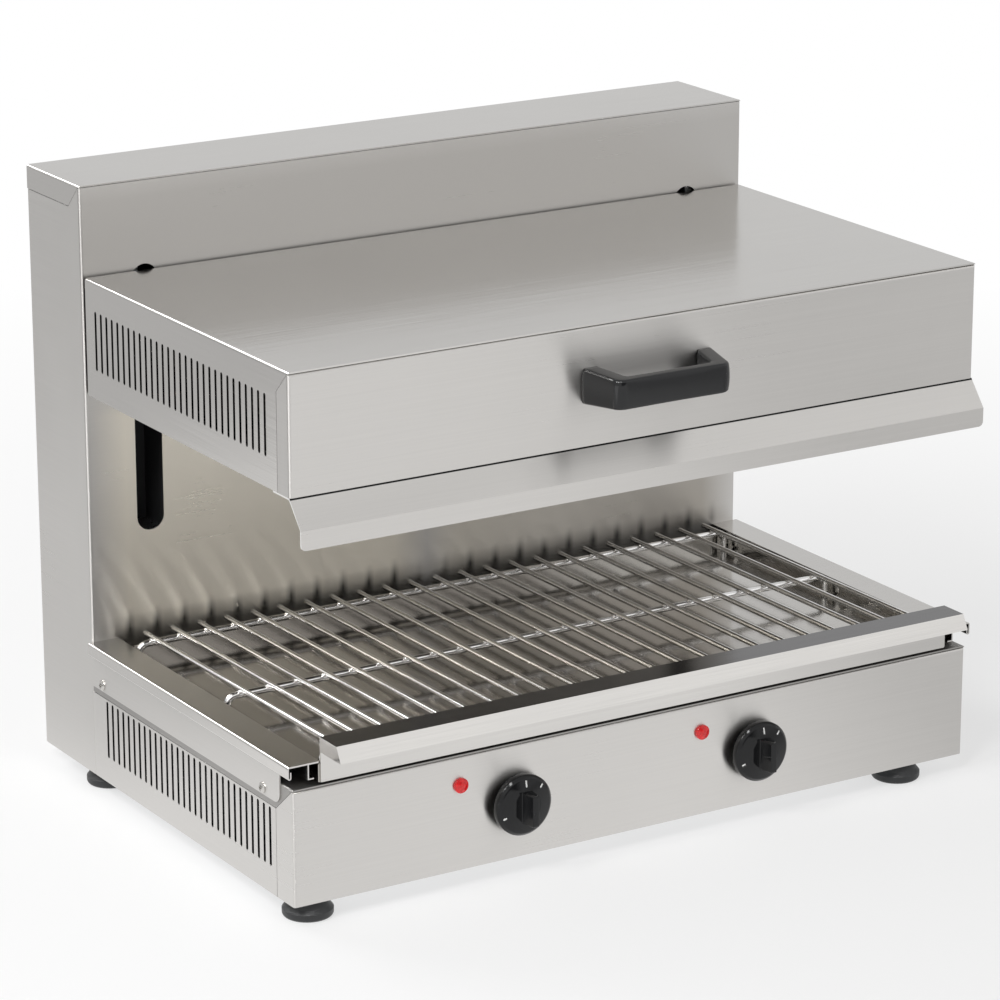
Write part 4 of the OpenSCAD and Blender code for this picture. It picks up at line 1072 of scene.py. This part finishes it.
class MELTER_OT_stage(bpy.types.Operator):
    """Set up the camera, the floor, the lamps and the light from all round"""

    bl_idname = "melter.stage"
    bl_label = "Set the stage"
    bl_options = {"REGISTER", "UNDO"}

    def execute(self, context):
        look = context.scene.melter_stage
        self.camera(context, look)
        self.floor(context, look)
        self.world(context, look)
        aim = (0.0, -0.1, 0.3)
        area_lamp("key_lamp_left", (-2.15, -0.75, 2.1), aim, (0.5, 0.8), look.key)
        area_lamp("key_lamp_right", (-1.7, -1.5, 2.15), aim, (0.5, 0.8), look.key)
        area_lamp("back_lamp", (-1.0, 2.4, 2.1), (0.0, 0.1, 0.3), (1.6, 1.1), look.fill)
        context.scene.view_settings.view_transform = "Standard"
        return {"FINISHED"}

    def camera(self, context, look):
        turn, drop, roll = (radians(angle) for angle in CAMERA_ANGLES)
        data = bpy.data.cameras.new("melter_camera")
        data.lens = look.lens_mm
        data.sensor_width = 36.0
        data.clip_end = 60.0
        holder = bpy.data.objects.new("melter_camera", data)
        forward = Vector((sin(turn) * cos(drop), cos(turn) * cos(drop), -sin(drop)))
        pose = forward.to_track_quat("-Z", "Y").to_matrix() @ Matrix.Rotation(roll, 3, "Z")
        front = Vector((0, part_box("base_front_panel")[0].y, 0))
        holder.matrix_world = Matrix.Translation(front + Vector(CAMERA_PLACE)) @ pose.to_4x4()
        context.scene.collection.objects.link(holder)
        context.scene.camera = holder

    def floor(self, context, look):
        """Paper that is white to the camera. What metal mirrors of it glows lighter or darker in each place,
        as painted light and painted shade.
        """
        form = bmesh.new()
        bmesh.ops.create_grid(form, x_segments=2, y_segments=2, size=30.0)
        MATERIALS["floor_paper"] = bpy.data.materials.new("floor_paper")
        floor = linked("floor", bpy.data.meshes.new("floor"), form, "floor_paper", smooth=False)
        sheet = Nodes(MATERIALS["floor_paper"])
        x, y, _ = sheet.parts_of(sheet.place())
        away = (((x * x + y * y) ** 0.5 - 0.55) / 1.1).clipped()
        glossy = sheet.mirrored()
        paleness = (away * (1 - look.floor_white) + look.floor_white + glossy).clipped()
        white = sheet.seen_or_mirrored() * paleness
        # Painted shade and painted light on the floor that metal mirrors: darker beside the melter, behind
        # it, at its right and far at its left, lighter in front of its left corner
        side = inside(x, -0.8, -0.29, 0.1) * inside(y, 0.1, 0.8, 0.18)
        back = (away * 2.0).clipped() * (y * 2.5 - 1.6).clipped()
        right = ((x + y * 0.45 - 0.02) / 0.22).clipped()
        left = ((0 - x - y * 0.45 - 0.62) / 0.2).clipped() * (y * 2.5 + 0.3).clipped()
        corner = ((0 - x - 0.4) * 3.0).clipped() * ((0 - y - 0.35) * 3.0).clipped() \
            * ((y - x * 0.85) * 5.0).clipped()
        near = (right * (look.floor_right - 1) + 1) * (left * (look.floor_left - 1) + 1) * (1 - side * 0.27) \
            + corner * look.corner
        mirrored = (back * (look.floor_far - look.floor_near) + look.floor_near) * near
        matt = sheet.node("ShaderNodeBsdfDiffuse", {}, {"Color": tuple(look.floor)})
        glow = sheet.node("ShaderNodeEmission", {}, {"Color": WHITE, "Strength": glossy * (mirrored - 1) + 1})
        both = sheet.node("ShaderNodeMixShader", {}, {0: white, 1: matt, 2: glow})
        sheet.node("ShaderNodeOutputMaterial", {}, {"Surface": both})
        floor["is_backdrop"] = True

    def world(self, context, look):
        """White all round for the camera, and one tone behind and one in front for what metal mirrors."""
        world = bpy.data.worlds.new("studio")
        context.scene.world = world
        studio = Nodes(world)
        x, y, z = studio.parts_of(studio.node("ShaderNodeTexCoord", {}, {}))
        behind = (y * 1.4 + z * 0.5 + 0.45).clipped()
        glossy = studio.mirrored()
        # A lighter band at the front, and the darker gap straight in front, low down
        band = (1 - abs(z - 0.52) * 5.0).clipped() * (1 - behind)
        gap = ((0.4 - x) * 8.0).clipped() * ((x + 0.45) * 8.0).clipped() * ((0.42 - z) * 8.0).clipped() \
            * (1 - behind)
        first, second, third = (inside_box((x, y, z), ranges, 0.02) for ranges in PANELS)
        mirrored = (behind * (look.back_tone - look.front_tone) + look.front_tone + band * look.band) \
            * (gap * (look.dark_front - 1) + 1) + (first + second + third) * look.panel
        level = 1 - glossy + glossy * mirrored
        soft = studio.node("ShaderNodeBackground", {}, {"Color": WHITE, "Strength": look.sky})
        white = studio.node("ShaderNodeBackground", {}, {"Color": WHITE, "Strength": level})
        both = studio.node("ShaderNodeMixShader", {}, {0: studio.seen_or_mirrored(), 1: soft, 2: white})
        studio.node("ShaderNodeOutputWorld", {}, {"Surface": both})


# ---- panel and start


class MELTER_PT_panel(bpy.types.Panel):
    """The melter's steps and settings"""

    bl_idname = "MELTER_PT_panel"
    bl_label = "Cheese Melter"
    bl_space_type = "VIEW_3D"
    bl_region_type = "UI"
    bl_category = "Melter"

    def draw(self, context):
        for step in STEPS:
            self.layout.operator(step.bl_idname)
        for name in GROUPS:
            group = getattr(context.scene, name)
            box = self.layout.box()
            for key in group.__annotations__:
                box.prop(group, key)


STEPS = (MELTER_OT_finish_solids, MELTER_OT_handle, MELTER_OT_knobs, MELTER_OT_lenses, MELTER_OT_grid,
         MELTER_OT_cables, MELTER_OT_mat, MELTER_OT_stage)
CLASSES = (*GROUPS.values(), *STEPS, MELTER_PT_panel)


def register():
    for kind in CLASSES:
        bpy.utils.register_class(kind)
    for name, group in GROUPS.items():
        setattr(bpy.types.Scene, name, PointerProperty(type=group))


def unregister():
    for name in GROUPS:
        delattr(bpy.types.Scene, name)
    for kind in reversed(CLASSES):
        bpy.utils.unregister_class(kind)


def main():
    register()
    for step in STEPS:
        space, name = step.bl_idname.split(".")
        getattr(getattr(bpy.ops, space), name)()
    boxes = {"cad": SOLIDS_BOX, "visual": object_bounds()}
    plain = {key: [[float(v) for v in corner] for corner in box] for key, box in boxes.items()}


if __name__ == "__main__":
    main()
